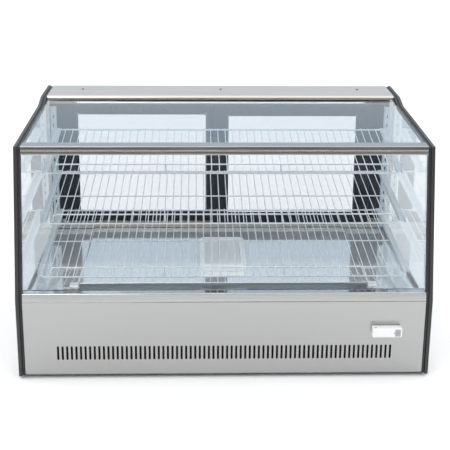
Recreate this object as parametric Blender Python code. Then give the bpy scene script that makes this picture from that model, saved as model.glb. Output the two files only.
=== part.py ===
"""A countertop refrigerated bakery display case, built as separate pieces.

Metres, +Z up, the front faces -Y. The origin is on the resting surface, at the middle of the case.
The side outline drives everything: the base front, the bend, the leaning front glass, the nearly
flat top glass, the step up to the rear top panel and the upright rear with its two sliding doors.
"""
import math

import bmesh
import bpy

# ---------------------------------------------------------------- driving dimensions
GAP = 0.0003

HALF_WIDTH = 0.600
TRIM_WIDTH = 0.011
SEAL_WIDTH = 0.0085
INNER_HALF = HALF_WIDTH - TRIM_WIDTH - SEAL_WIDTH - GAP
FIT_HALF = INNER_HALF - GAP

FOOT_HEIGHT = 0.008
REAR_Y = 0.3925
BASE_FRONT = (-0.3615, FOOT_HEIGHT)
BEND = (-0.3675, 0.243)
FRONT_TOP = (-0.2875, 0.682)
STEP_LOW = (0.1635, 0.707)
STEP_HIGH = (0.2265, 0.725)
REAR_TOP = (REAR_Y, 0.731)
REAR_BOTTOM = (REAR_Y, FOOT_HEIGHT)
SIDE_OUTLINE = [BASE_FRONT, BEND, FRONT_TOP, STEP_LOW, STEP_HIGH, REAR_TOP, REAR_BOTTOM]
TRIM_BAND = 0.024
SEAL_INSET = 0.003
SEAL_BAND = 0.017
SIDE_SPLIT_Z = 0.243
SIDE_PANE = 0.006

SHEET = 0.0015
PANEL_SHEET = 0.002
PANEL_LOW_Z = 0.0155
SLOT_COUNT = 74
SLOT_PITCH = 0.01324
SLOT_WIDTH = 0.0064
SLOT_LOW = 0.0615
SLOT_HIGH = 0.105

SILL_TOP_Z = 0.2668
SILL_REAR_Y = -0.3265
GLASS_SETBACK = 0.025
GLASS = 0.005
RAIL_LOW_Z = 0.657
RAIL_DEPTH = 0.040
TOP_GLASS_END_Y = 0.228

TOP_PANEL_FRONT_Y = 0.232
TOP_PANEL_LIP = 0.013
SCREW_X = 0.472
SCREW_Y = 0.333
LAMP_HALF = 0.487

DOOR_WIDTH = 0.552
DOOR_THICK = 0.018
DOOR_LOW_Z = 0.240
DOOR_HIGH_Z = 0.676
DOOR_STILE = 0.050
DOOR_RAIL = 0.041
DOOR_GLASS = 0.004
LEFT_DOOR_X = -0.273
RIGHT_DOOR_X = 0.251
FRONT_TRACK_Y = 0.336
REAR_TRACK_Y = 0.360
TRACK_LIP = 0.008
FRAME_OPEN_HALF = 0.525
FRAME_OPEN_LOW = 0.262
FRAME_OPEN_HIGH = 0.668

DECK_Z = 0.231
DECK_RAISE = 0.004
DECK_COVER_HALF = 0.440
DECK_FRONT_Y = -0.1925
AIR_SLOT = 0.015
DECK_REAR_Y = 0.318
TUB_FLOOR_Z = 0.165
TUB_WALL = 0.008

UPRIGHT_INNER = 0.553
UPRIGHT_WIDTH = 0.019
UPRIGHT_Y = 0.236
UPRIGHT_DEPTH = 0.016
UPRIGHT_LOW = 0.262
UPRIGHT_HIGH = 0.684
UPRIGHT_SLOTS = 14

SHELF_HALF = 0.540
SHELF_PITCH = 0.024
WIRE = 0.003
RAIL_WIRE = 0.005
# Rear and front rail of each wire shelf, as (y, z), from the top shelf down.
SHELF_RAILS = [
    ((0.207, 0.610), (-0.0985, 0.547)),
    ((0.207, 0.468), (-0.182, 0.414)),
    ((0.207, 0.331), (-0.273, 0.280)),
]
GUARD_HALF = 0.512
GUARD_HEIGHT = 0.026
GUARD_SETBACK = 0.013
GUARD_TIE_X = 0.176
BRACKET_SHEET = 0.002
BRACKET_FLANGE = 0.020
BRACKET_WEB = 0.026

TRAY_SIZE = (0.147, 0.265, 0.019)
TRAY_CENTRE = (0.002, 0.0335)
TRAY_WALL = 0.003

CONTROL_X = 0.468
CONTROL_SIZE = (0.085, 0.0245, 0.028)
CONTROL_LOW_Z = 0.1396
CONTROL_FRONT_Y = -0.3905
BUTTON = 0.0054
BUTTON_HOLE = 0.006
BUTTON_X = (0.490, 0.500)
BUTTON_PROUD = 0.002

REAR_PANEL_Y = 0.3775
SWITCH_X = -0.450
SWITCH_Z = 0.160
GLAND_X = 0.450
GLAND_Z = 0.052
GLAND_RADIUS = 0.0095
GLAND_SIDES = 20
GLAND_HOLE = 0.012
SWITCH_HOLE_X = 0.013
SWITCH_HOLE_Z = 0.023
COVER_LOW = 0.014
COVER_HIGH = 0.224
LOUVRE_LOW = 0.075
LOUVRE_HIGH = 0.140
LOUVRES = 26
LOUVRE_PITCH = 0.028
LOUVRE_WIDTH = 0.012
LOUVRE_START = -0.350

CONDENSER_X = 0.300
CONDENSER_Z = 0.085
FAN_Y = -0.262
EVAPORATOR_FAN = (0.360, -0.020, 0.196)


# ---------------------------------------------------------------- scene and materials
def clear_scene():
    for item in list(bpy.data.objects):
        bpy.data.objects.remove(item, do_unlink=True)


def make_material(name, colour, roughness, metallic, alpha=1.0):
    material = bpy.data.materials.new(name)
    material.use_nodes = True
    shader = material.node_tree.nodes["Principled BSDF"]
    shader.inputs["Base Color"].default_value = (*colour, 1.0)
    shader.inputs["Roughness"].default_value = roughness
    shader.inputs["Metallic"].default_value = metallic
    shader.inputs["Alpha"].default_value = alpha
    return material


def make_materials():
    return {
        "brushed_steel": make_material("brushed_steel", (0.55, 0.54, 0.53), 0.32, 1.0),
        "polished_steel": make_material("polished_steel", (0.75, 0.75, 0.76), 0.08, 1.0),
        "aluminium": make_material("aluminium", (0.68, 0.68, 0.68), 0.25, 1.0),
        "galvanised": make_material("galvanised", (0.45, 0.46, 0.47), 0.5, 1.0),
        "trim_grey": make_material("trim_grey", (0.10, 0.105, 0.11), 0.45, 0.0),
        "black_rubber": make_material("black_rubber", (0.015, 0.015, 0.017), 0.6, 0.0),
        "door_black": make_material("door_black", (0.012, 0.015, 0.022), 0.35, 0.0),
        "white_coat": make_material("white_coat", (0.80, 0.82, 0.83), 0.35, 0.0),
        "light_grey": make_material("light_grey", (0.62, 0.66, 0.68), 0.4, 0.0),
        "clear_glass": make_material("clear_glass", (0.85, 0.93, 0.95), 0.03, 0.0, 0.25),
        "door_glass": make_material("door_glass", (0.90, 0.95, 0.96), 0.03, 0.0, 0.3),
        "led_white": make_material("led_white", (0.95, 0.97, 1.0), 0.4, 0.0),
        "white_plastic": make_material("white_plastic", (0.86, 0.87, 0.87), 0.35, 0.0),
        "liner_white": make_material("liner_white", (0.75, 0.77, 0.78), 0.5, 0.0),
        "copper_fins": make_material("copper_fins", (0.60, 0.50, 0.42), 0.4, 1.0),
        "black_plastic": make_material("black_plastic", (0.02, 0.02, 0.02), 0.45, 0.0),
    }


# ---------------------------------------------------------------- shape helpers
def place(name, shape, material, parent=None, location=(0.0, 0.0, 0.0), turn_x=0.0, smooth=False):
    """Turns a bmesh into a named object, with its faces pointing out."""
    bmesh.ops.recalc_face_normals(shape, faces=shape.faces)
    mesh = bpy.data.meshes.new(name)
    shape.to_mesh(mesh)
    shape.free()
    if smooth:
        mesh.shade_smooth()
        mesh.set_sharp_from_angle(angle=math.radians(35))
    mesh.materials.append(material)
    item = bpy.data.objects.new(name, mesh)
    item.location = location
    item.rotation_euler = (turn_x, 0.0, 0.0)
    item.parent = parent
    bpy.context.scene.collection.objects.link(item)
    return item


def joint_empty(name, location):
    empty = bpy.data.objects.new(name, None)
    empty.location = location
    bpy.context.scene.collection.objects.link(empty)
    return empty


def to_point(axis, along, first, second):
    """A point from its coordinate along an axis and the other two, in X, Y, Z order."""
    if axis == "X":
        return (along, first, second)
    if axis == "Y":
        return (first, along, second)
    return (first, second, along)


def prism(outline, start, end, axis="X"):
    """A closed solid: an outline in the plane across an axis, extruded along it."""
    shape = bmesh.new()
    low = [shape.verts.new(to_point(axis, start, *point)) for point in outline]
    high = [shape.verts.new(to_point(axis, end, *point)) for point in outline]
    shape.faces.new(low)
    shape.faces.new(list(reversed(high)))
    count = len(outline)
    for i in range(count):
        j = (i + 1) % count
        shape.faces.new((low[i], high[i], high[j], low[j]))
    return shape


def box(low, high):
    outline = [(low[1], low[2]), (high[1], low[2]), (high[1], high[2]), (low[1], high[2])]
    return prism(outline, low[0], high[0])


def ring_prism(outer, inner, start, end, axis="X"):
    """A closed frame between two outlines with the same number of points."""
    shape = bmesh.new()
    loops = []
    for along in (start, end):
        for outline in (outer, inner):
            loops.append([shape.verts.new(to_point(axis, along, *point)) for point in outline])
    outer_low, inner_low, outer_high, inner_high = loops
    count = len(outer)
    for i in range(count):
        j = (i + 1) % count
        shape.faces.new((outer_low[i], outer_low[j], inner_low[j], inner_low[i]))
        shape.faces.new((outer_high[i], inner_high[i], inner_high[j], outer_high[j]))
        shape.faces.new((outer_low[i], outer_high[i], outer_high[j], outer_low[j]))
        shape.faces.new((inner_low[i], inner_low[j], inner_high[j], inner_high[i]))
    return shape


def grid_plate(cuts_a, cuts_b, filled, start, end, axis):
    """A closed plate made of grid cells; filled(i, j) says which cells hold material."""
    shape = bmesh.new()
    points = {}

    def vertex(i, j, along):
        key = (i, j, along)
        if key not in points:
            points[key] = shape.verts.new(to_point(axis, along, cuts_a[i], cuts_b[j]))
        return points[key]

    count_a = len(cuts_a) - 1
    count_b = len(cuts_b) - 1

    def solid(i, j):
        return 0 <= i < count_a and 0 <= j < count_b and filled(i, j)

    for i in range(count_a):
        for j in range(count_b):
            if not solid(i, j):
                continue
            corners = [(i, j), (i + 1, j), (i + 1, j + 1), (i, j + 1)]
            shape.faces.new([vertex(*corner, start) for corner in corners])
            shape.faces.new([vertex(*corner, end) for corner in reversed(corners)])
            neighbours = [(i, j - 1), (i + 1, j), (i, j + 1), (i - 1, j)]
            for k, neighbour in enumerate(neighbours):
                if solid(*neighbour):
                    continue
                a = corners[k]
                b = corners[(k + 1) % 4]
                shape.faces.new((vertex(*a, start), vertex(*a, end), vertex(*b, end), vertex(*b, start)))
    return shape


def inset_outline(outline, distance):
    """An outline moved inwards by a distance; the outline runs clockwise seen from +X."""
    lines = []
    count = len(outline)
    for i in range(count):
        y0, z0 = outline[i]
        y1, z1 = outline[(i + 1) % count]
        length = math.hypot(y1 - y0, z1 - z0)
        inward = ((z1 - z0) / length, -(y1 - y0) / length)
        lines.append((y0 + inward[0] * distance, z0 + inward[1] * distance, y1 - y0, z1 - z0))
    return [line_crossing(lines[i - 1], lines[i]) for i in range(count)]


def line_crossing(first, second):
    """Where two lines cross, each given as a point and a direction."""
    y0, z0, dy0, dz0 = first
    y1, z1, dy1, dz1 = second
    cross = dy0 * dz1 - dz0 * dy1
    share = ((y1 - y0) * dz1 - (z1 - z0) * dy1) / cross
    return (y0 + share * dy0, z0 + share * dz0)


def clip_outline(outline, height, keep_above):
    """The part of an outline above or below a height."""
    sign = 1.0 if keep_above else -1.0
    kept = []
    count = len(outline)
    for i in range(count):
        here = outline[i]
        after = outline[(i + 1) % count]
        if sign * (here[1] - height) >= 0:
            kept.append(here)
        if (here[1] - height) * (after[1] - height) < 0:
            share = (height - here[1]) / (after[1] - here[1])
            kept.append((here[0] + share * (after[0] - here[0]), height))
    return kept


def bent_sheet(path, thickness):
    """The outline of a bent sheet: a path and its offset to the right of its run."""
    offset = []
    count = len(path)
    for i in range(count):
        before = path[max(i - 1, 0)]
        here = path[i]
        after = path[min(i + 1, count - 1)]
        first = direction(before, here) if i > 0 else direction(here, after)
        second = direction(here, after) if i < count - 1 else first
        bend = (first[0] + second[0], first[1] + second[1])
        size = math.hypot(*bend)
        bend = (bend[0] / size, bend[1] / size)
        reach = thickness / (bend[0] * first[0] + bend[1] * first[1])
        offset.append((here[0] + bend[1] * reach, here[1] - bend[0] * reach))
    return path + offset[::-1]


def direction(start, end):
    length = math.hypot(end[0] - start[0], end[1] - start[1])
    return ((end[0] - start[0]) / length, (end[1] - start[1]) / length)


def along_line(start, end, height):
    """The y of the line through two (y, z) points at a height."""
    return start[0] + (height - start[1]) * (end[0] - start[0]) / (end[1] - start[1])


def circle(centre, radius, sides):
    points = []
    for i in range(sides):
        angle = 2 * math.pi * i / sides
        points.append((centre[0] + radius * math.cos(angle), centre[1] + radius * math.sin(angle)))
    return points


def slot_cuts(first, count, pitch, width, low, high):
    """Grid cuts for a row of slots: the plate's ends and both edges of each slot."""
    cuts = [low]
    for i in range(count):
        centre = first + i * pitch
        cuts += [centre - width / 2, centre + width / 2]
    return cuts + [high]


# ---------------------------------------------------------------- sides
def build_sides(materials):
    seal_outer = inset_outline(SIDE_OUTLINE, SEAL_INSET)
    seal_inner = inset_outline(SIDE_OUTLINE, SEAL_INSET + SEAL_BAND)
    trim_inner = inset_outline(SIDE_OUTLINE, TRIM_BAND)
    infill = inset_outline(SIDE_OUTLINE, SEAL_INSET + SEAL_BAND + GAP)
    pane = clip_outline(infill, SIDE_SPLIT_Z + GAP, True)
    panel = clip_outline(infill, SIDE_SPLIT_Z, False)
    trim_start = HALF_WIDTH - TRIM_WIDTH
    seal_start = trim_start - SEAL_WIDTH
    for side, sign in (("left", -1), ("right", 1)):
        trim = ring_prism(SIDE_OUTLINE, trim_inner, sign * trim_start, sign * HALF_WIDTH)
        place(side + "_edge_trim", trim, materials["trim_grey"])
        seal = ring_prism(seal_outer, seal_inner, sign * seal_start, sign * (trim_start - GAP))
        place(side + "_edge_seal", seal, materials["black_rubber"])
        pane_end = seal_start + SIDE_PANE
        glass = prism(pane, sign * seal_start, sign * pane_end)
        place(side + "_side_glass", glass, materials["clear_glass"])
        lower = prism(panel, sign * seal_start, sign * pane_end)
        place(side + "_side_panel", lower, materials["galvanised"])


# ---------------------------------------------------------------- base
def build_base(materials):
    steel = materials["galvanised"]
    pan_path = [(-0.350, 0.050), (-0.350, 0.0088), (0.372, 0.0088), (0.372, 0.050)]
    pan = prism(bent_sheet(pan_path, -PANEL_SHEET), -FIT_HALF, FIT_HALF)
    place("base_tray", pan, steel)
    for side, x in (("left", -0.500), ("right", 0.500)):
        for end, y in (("front", -0.290), ("rear", 0.320)):
            foot = prism(circle((x, y), 0.020, 20), 0.0, FOOT_HEIGHT + 0.0005, "Z")
            place(side + "_" + end + "_foot", foot, materials["black_rubber"])


def build_front_panel(materials):
    """The slotted front panel, a flat plate turned to lie along the slanted base front."""
    lean = math.atan2(BASE_FRONT[0] - BEND[0], BEND[1] - BASE_FRONT[1])
    top = BEND[1] - GAP
    recess = 0.0008
    first = -(SLOT_COUNT - 1) * SLOT_PITCH / 2
    cuts_x = slot_cuts(first, SLOT_COUNT, SLOT_PITCH, SLOT_WIDTH, -FIT_HALF, FIT_HALF)
    cuts_z = [PANEL_LOW_Z - top, SLOT_LOW - top, SLOT_HIGH - top, 0.0]
    plate = grid_plate(cuts_x, cuts_z, lambda i, j: i % 2 == 0 or j != 1, recess, recess + PANEL_SHEET, "Y")
    place("front_panel", plate, materials["brushed_steel"], location=(0.0, BEND[0], top), turn_x=lean)


def build_sill(materials):
    band_low = BEND[1] + GAP
    path = [
        (along_line(BEND, FRONT_TOP, band_low) + 0.0008, band_low),
        (along_line(BEND, FRONT_TOP, SILL_TOP_Z) + 0.0008, SILL_TOP_Z),
        (SILL_REAR_Y, SILL_TOP_Z),
        (SILL_REAR_Y, DECK_Z - 0.002),
    ]
    sill = prism(bent_sheet(path, SHEET), -FIT_HALF, FIT_HALF)
    place("front_sill", sill, materials["polished_steel"])


def build_rear_panel(materials):
    """The louvred service cover, with square openings for the light switch and the cord gland."""
    slots = slot_cuts(LOUVRE_START, LOUVRES, LOUVRE_PITCH, LOUVRE_WIDTH, -FIT_HALF, FIT_HALF)
    switch = (SWITCH_X - SWITCH_HOLE_X / 2, SWITCH_X + SWITCH_HOLE_X / 2)
    gland = (GLAND_X - GLAND_HOLE / 2, GLAND_X + GLAND_HOLE / 2)
    cuts_x = sorted(slots + list(switch) + list(gland))
    cuts_z = [COVER_LOW, GLAND_Z - GLAND_HOLE / 2, GLAND_Z + GLAND_HOLE / 2]
    cuts_z += [LOUVRE_LOW, LOUVRE_HIGH]
    cuts_z += [SWITCH_Z - SWITCH_HOLE_Z / 2, SWITCH_Z + SWITCH_HOLE_Z / 2, COVER_HIGH]
    slot_lefts = set(slots[1:-1:2])

    def filled(i, j):
        left = cuts_x[i]
        if left in slot_lefts and j == 3:
            return False
        if left == switch[0] and j == 5:
            return False
        return not (left == gland[0] and j == 1)

    plate = grid_plate(cuts_x, cuts_z, filled, REAR_PANEL_Y, REAR_PANEL_Y + PANEL_SHEET, "Y")
    place("rear_panel", plate, materials["galvanised"])
    collar = circle((GLAND_X, GLAND_Z), GLAND_RADIUS, GLAND_SIDES)
    body = prism(collar, REAR_PANEL_Y + PANEL_SHEET + GAP, REAR_Y - 0.001, "Y")
    place("cord_gland", body, materials["black_plastic"])


def build_switch(materials):
    middle = REAR_PANEL_Y + PANEL_SHEET / 2
    pivot = joint_empty("light_switch_pivot", (SWITCH_X, middle, SWITCH_Z))
    outline = [(-0.004, -0.010), (0.004, -0.010), (0.003, 0.0), (0.004, 0.010), (-0.004, 0.010)]
    rocker = prism(outline, -0.006, 0.006)
    place("light_switch", rocker, materials["black_plastic"], parent=pivot)


# ---------------------------------------------------------------- glass and top
def build_front_glass(materials):
    run = direction(BEND, FRONT_TOP)
    inward = (run[1], -run[0])
    low = SILL_TOP_Z + 0.0006
    high = RAIL_LOW_Z - 0.0006
    outline = []
    for depth, height in ((0, low), (0, high), (GLASS, high), (GLASS, low)):
        setback = (GLASS_SETBACK + depth) / inward[0]
        outline.append((along_line(BEND, FRONT_TOP, height) + setback, height))
    place("front_glass", prism(outline, -FIT_HALF, FIT_HALF), materials["clear_glass"])


def build_top_rail(materials):
    """The front top rail, with a shallow groove between its two bands."""
    slope = (STEP_LOW[1] - FRONT_TOP[1]) / (STEP_LOW[0] - FRONT_TOP[0])
    rear_y = FRONT_TOP[0] + RAIL_DEPTH
    rear_z = FRONT_TOP[1] + slope * RAIL_DEPTH
    groove_z = (RAIL_LOW_Z + FRONT_TOP[1]) / 2
    groove = 0.0012
    face = []
    for height, depth in (
        (RAIL_LOW_Z, 0.0008),
        (groove_z - groove, 0.0008),
        (groove_z - groove / 2, 0.0008 + groove),
        (groove_z + groove / 2, 0.0008 + groove),
        (groove_z + groove, 0.0008),
        (FRONT_TOP[1], 0.0008),
    ):
        face.append((along_line(BEND, FRONT_TOP, height) + depth, height))
    outline = face + [(rear_y, rear_z), (rear_y, rear_z - 0.0075), (rear_y - 0.010, rear_z - 0.0075)]
    outline.append((rear_y - 0.012, RAIL_LOW_Z))
    place("front_top_rail", prism(outline, -FIT_HALF, FIT_HALF), materials["aluminium"])


def build_top_glass(materials):
    slope = (STEP_LOW[1] - FRONT_TOP[1]) / (STEP_LOW[0] - FRONT_TOP[0])
    start_y = FRONT_TOP[0] + RAIL_DEPTH + 0.0005
    outline = []
    for y, drop in ((start_y, 0.0), (TOP_GLASS_END_Y, 0.0), (TOP_GLASS_END_Y, GLASS), (start_y, GLASS)):
        outline.append((y, FRONT_TOP[1] + slope * (y - FRONT_TOP[0]) - 0.001 - drop))
    place("top_glass", prism(outline, -FIT_HALF, FIT_HALF), materials["clear_glass"])


def top_panel_height(y):
    slope = (REAR_TOP[1] - STEP_HIGH[1]) / (REAR_TOP[0] - STEP_HIGH[0])
    return STEP_HIGH[1] - 0.001 + slope * (y - STEP_HIGH[0])


def build_top_panel(materials):
    rear_y = REAR_Y - 0.0005
    front_z = top_panel_height(TOP_PANEL_FRONT_Y)
    lip_z = front_z - TOP_PANEL_LIP
    path = [
        (TOP_PANEL_FRONT_Y + 0.012, lip_z),
        (TOP_PANEL_FRONT_Y, lip_z),
        (TOP_PANEL_FRONT_Y, front_z),
        (rear_y, top_panel_height(rear_y)),
        (rear_y, 0.701),
    ]
    panel = prism(bent_sheet(path, SHEET), -FIT_HALF, FIT_HALF)
    place("top_panel", panel, materials["brushed_steel"])
    for number, x in enumerate((-SCREW_X, 0.0, SCREW_X), 1):
        base = top_panel_height(SCREW_Y) + 0.0005
        head = prism(circle((x, SCREW_Y), 0.004, 16), base, base + 0.0018, "Z")
        place("top_screw_%d" % number, head, materials["polished_steel"])


def build_lamp(materials):
    housing = box((-LAMP_HALF - 0.020, 0.2293, 0.686), (LAMP_HALF + 0.020, 0.262, 0.706))
    place("lamp_housing", housing, materials["aluminium"])
    strip = box((-LAMP_HALF, 0.2245, 0.697), (LAMP_HALF, 0.2290, 0.703))
    place("led_strip", strip, materials["led_white"])


# ---------------------------------------------------------------- rear doors
def door_outline(x, margin_x, low, high):
    half = DOOR_WIDTH / 2 - margin_x
    return [(x - half, low), (x + half, low), (x + half, high), (x - half, high)]


def build_door(materials, side, x, y):
    """One sliding door: a sash and its pane, on an empty at its own middle."""
    low = DOOR_LOW_Z - GAP
    origin = joint_empty(side + "_door_slide", (x, y, 0.0))
    outer = door_outline(0.0, 0.0, low, DOOR_HIGH_Z)
    inner = door_outline(0.0, DOOR_STILE, low + DOOR_RAIL, DOOR_HIGH_Z - DOOR_RAIL)
    sash = ring_prism(outer, inner, -DOOR_THICK / 2, DOOR_THICK / 2, "Y")
    place(side + "_door_sash", sash, materials["door_black"], parent=origin)
    pane = door_outline(0.0, DOOR_STILE + GAP, low + DOOR_RAIL + GAP, DOOR_HIGH_Z - DOOR_RAIL - GAP)
    glass = prism(pane, -DOOR_GLASS / 2, DOOR_GLASS / 2, "Y")
    place(side + "_door_glass", glass, materials["door_glass"], parent=origin)


def track_outline(back_z, floor_z, rib_z):
    """An E-shaped track: a back, and three ribs that leave a groove for each door."""
    clearance = 0.0008
    edges = []
    for centre in (FRONT_TRACK_Y, REAR_TRACK_Y):
        edges += [centre - DOOR_THICK / 2 - clearance, centre + DOOR_THICK / 2 + clearance]
    front = FRONT_TRACK_Y - DOOR_THICK / 2 - 0.0045
    rear = REAR_TRACK_Y + DOOR_THICK / 2 + 0.0045
    outline = [(front, back_z), (front, rib_z), (edges[0], rib_z), (edges[0], floor_z), (edges[1], floor_z)]
    outline += [(edges[1], rib_z), (edges[2], rib_z), (edges[2], floor_z), (edges[3], floor_z)]
    return outline + [(edges[3], rib_z), (rear, rib_z), (rear, back_z)]


def build_tracks(materials):
    lower = track_outline(0.2265, DOOR_LOW_Z - 0.001, DOOR_LOW_Z + TRACK_LIP)
    place("lower_door_track", prism(lower, -FIT_HALF, FIT_HALF), materials["aluminium"])
    upper = track_outline(0.699, DOOR_HIGH_Z + 0.001, DOOR_HIGH_Z - TRACK_LIP)
    place("upper_door_track", prism(upper, -FIT_HALF, FIT_HALF), materials["door_black"])
    outer = [(-FIT_HALF, 0.2265), (FIT_HALF, 0.2265), (FIT_HALF, 0.699), (-FIT_HALF, 0.699)]
    half = FRAME_OPEN_HALF
    inner = [(-half, FRAME_OPEN_LOW), (half, FRAME_OPEN_LOW), (half, FRAME_OPEN_HIGH), (-half, FRAME_OPEN_HIGH)]
    frame = ring_prism(outer, inner, 0.3745, REAR_Y - 0.0025, "Y")
    place("door_frame", frame, materials["door_black"])


# ---------------------------------------------------------------- inside
def build_uprights(materials):
    slot = 0.012
    pitch = (UPRIGHT_HIGH - UPRIGHT_LOW - slot) / UPRIGHT_SLOTS
    cuts_z = slot_cuts(UPRIGHT_LOW + pitch, UPRIGHT_SLOTS - 1, pitch, slot, UPRIGHT_LOW, UPRIGHT_HIGH)
    for side, sign in (("left", -1), ("right", 1)):
        near = UPRIGHT_INNER
        far = UPRIGHT_INNER + UPRIGHT_WIDTH
        marks = [near, near + 0.007, near + 0.011, far]
        cuts_x = sorted(sign * mark for mark in marks)
        post = grid_plate(
            cuts_x, cuts_z, lambda i, j: i != 1 or j % 2 == 0, UPRIGHT_Y, UPRIGHT_Y + UPRIGHT_DEPTH, "Y"
        )
        place(side + "_upright", post, materials["light_grey"])


def shelf_frame(rails):
    """Length and tilt of a shelf from its rear and front rail."""
    rear, front = rails
    length = math.hypot(rear[0] - front[0], rear[1] - front[1])
    return length, math.atan2(rear[1] - front[1], rear[0] - front[0])


def build_shelves(materials):
    wire_count = int(2 * SHELF_HALF / SHELF_PITCH) + 1
    first = -(wire_count - 1) * SHELF_PITCH / 2
    for number, rails in enumerate(SHELF_RAILS, 1):
        length, tilt = shelf_frame(rails)
        rear_y, rear_z = rails[0]
        cuts_x = []
        for i in range(wire_count):
            centre = first + i * SHELF_PITCH
            cuts_x += [centre - WIRE / 2, centre + WIRE / 2]
        middle = -length / 2
        cuts_y = [-length, -length + RAIL_WIRE, middle - WIRE / 2, middle + WIRE / 2, -RAIL_WIRE, 0.0]
        lattice = grid_plate(cuts_x, cuts_y, lambda i, j: i % 2 == 0 or j % 2 == 0, 0.0, WIRE, "Z")
        place(
            "wire_shelf_%d" % number, lattice, materials["white_coat"], location=(0.0, rear_y, rear_z), turn_x=tilt
        )
        place_guard(materials, number, rails, length, tilt)


def place_guard(materials, number, rails, length, tilt):
    """The raised rail along the shelf's front edge, on its two end legs and two ties."""
    rear_y, rear_z = rails[0]
    base = WIRE + GAP
    top = GUARD_HEIGHT + WIRE
    legs = [-GUARD_HALF, -GUARD_TIE_X, GUARD_TIE_X, GUARD_HALF]
    cuts_x = []
    for x in legs:
        cuts_x += [x - RAIL_WIRE / 2, x + RAIL_WIRE / 2]
    start = -length + GUARD_SETBACK
    rail = grid_plate(
        cuts_x, [base, top - RAIL_WIRE, top], lambda i, j: i % 2 == 0 or j == 1, start, start + WIRE, "Y"
    )
    place("shelf_guard_%d" % number, rail, materials["white_coat"], location=(0.0, rear_y, rear_z), turn_x=tilt)


def build_brackets(materials):
    """Cantilever arms hooked in the uprights: a flange under the shelf and a tapering web."""
    for number, rails in enumerate(SHELF_RAILS, 1):
        length, tilt = shelf_frame(rails)
        rear_y, rear_z = rails[0]
        for side, sign in (("left", -1), ("right", 1)):
            web = UPRIGHT_INNER + 0.0005
            marks = [web - BRACKET_FLANGE, web, web + BRACKET_SHEET]
            cuts_x = sorted(sign * mark for mark in marks)
            web_column = 1 if sign > 0 else 0
            arm = grid_plate(
                cuts_x,
                [-BRACKET_WEB, -BRACKET_SHEET, 0.0],
                lambda i, j, column=web_column: j == 1 or i == column,
                -length * 0.93,
                0.020,
                "Y",
            )
            for vertex in arm.verts:
                if vertex.co.y < 0 and vertex.co.z < -2 * BRACKET_SHEET:
                    vertex.co.z = -0.009
            name = "%s_bracket_%d" % (side, number)
            place(name, arm, materials["white_coat"], location=(0.0, rear_y, rear_z - 0.0005), turn_x=tilt)


def build_tub_and_deck(materials):
    apron_front = SILL_REAR_Y + 0.0008
    slot_front = DECK_FRONT_Y - AIR_SLOT
    apron_z = DECK_Z - DECK_RAISE
    path = [(apron_front, apron_z), (slot_front, apron_z), (slot_front, TUB_FLOOR_Z), (0.300, TUB_FLOOR_Z)]
    path.append((0.300, DECK_Z - 0.010))
    tub = prism(bent_sheet(path, TUB_WALL), -FIT_HALF, FIT_HALF)
    place("insulated_tub", tub, materials["liner_white"])
    low = DECK_Z - DECK_RAISE
    cover = DECK_COVER_HALF
    section = [
        (-FIT_HALF + 0.001, low),
        (-cover - DECK_RAISE, low),
        (-cover, DECK_Z),
        (cover, DECK_Z),
        (cover + DECK_RAISE, low),
        (FIT_HALF - 0.001, low),
    ]
    deck = prism(bent_sheet(section, PANEL_SHEET), DECK_FRONT_Y, DECK_REAR_Y, "Y")
    place("deck_panel", deck, materials["polished_steel"])


def build_water_tray(materials):
    width, depth, height = TRAY_SIZE
    floor = DECK_Z + GAP
    lift = joint_empty("tray_lift", (TRAY_CENTRE[0], TRAY_CENTRE[1], floor))
    tray = bmesh.new()
    bmesh.ops.create_cube(tray, size=1.0)
    bmesh.ops.scale(tray, vec=(width, depth, height), verts=tray.verts)
    bmesh.ops.translate(tray, vec=(0.0, 0.0, height / 2), verts=tray.verts)
    corners = [edge for edge in tray.edges if abs(edge.verts[0].co.z - edge.verts[1].co.z) > height / 2]
    bmesh.ops.bevel(tray, geom=corners, offset=0.018, segments=4, profile=0.5, affect="EDGES")
    top = max(tray.faces, key=lambda face: face.calc_center_median().z)
    bmesh.ops.inset_region(tray, faces=[top], thickness=TRAY_WALL)
    bmesh.ops.translate(tray, vec=(0.0, 0.0, TRAY_WALL - height), verts=top.verts)
    place("humidity_tray", tray, materials["white_plastic"], parent=lift)


# ---------------------------------------------------------------- refrigeration
def finned_coil(low, high, fins):
    """A coil block seen as a row of fins joined by a lower and an upper tube row."""
    pitch = (high[0] - low[0]) / (fins - 0.5)
    cuts_x = []
    for i in range(fins):
        cuts_x += [low[0] + i * pitch, low[0] + i * pitch + pitch / 2]
    tube = (high[2] - low[2]) / 7
    cuts_z = [low[2] + tube * i for i in (0, 1, 2, 5, 6, 7)]
    return grid_plate(cuts_x, cuts_z, lambda i, j: i % 2 == 0 or j % 2 == 1, low[1], high[1], "Y")


def rotor_outline(hub, tip, blades):
    """A fan seen along its axis: straight-sided blades on a round hub."""
    points = []
    for i in range(blades):
        start = 2 * math.pi * i / blades
        for share, radius in ((0.0, hub), (0.08, tip), (0.32, tip), (0.60, hub), (0.80, hub)):
            angle = start + share * 2 * math.pi / blades
            points.append((radius * math.cos(angle), radius * math.sin(angle)))
    return points


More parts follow.
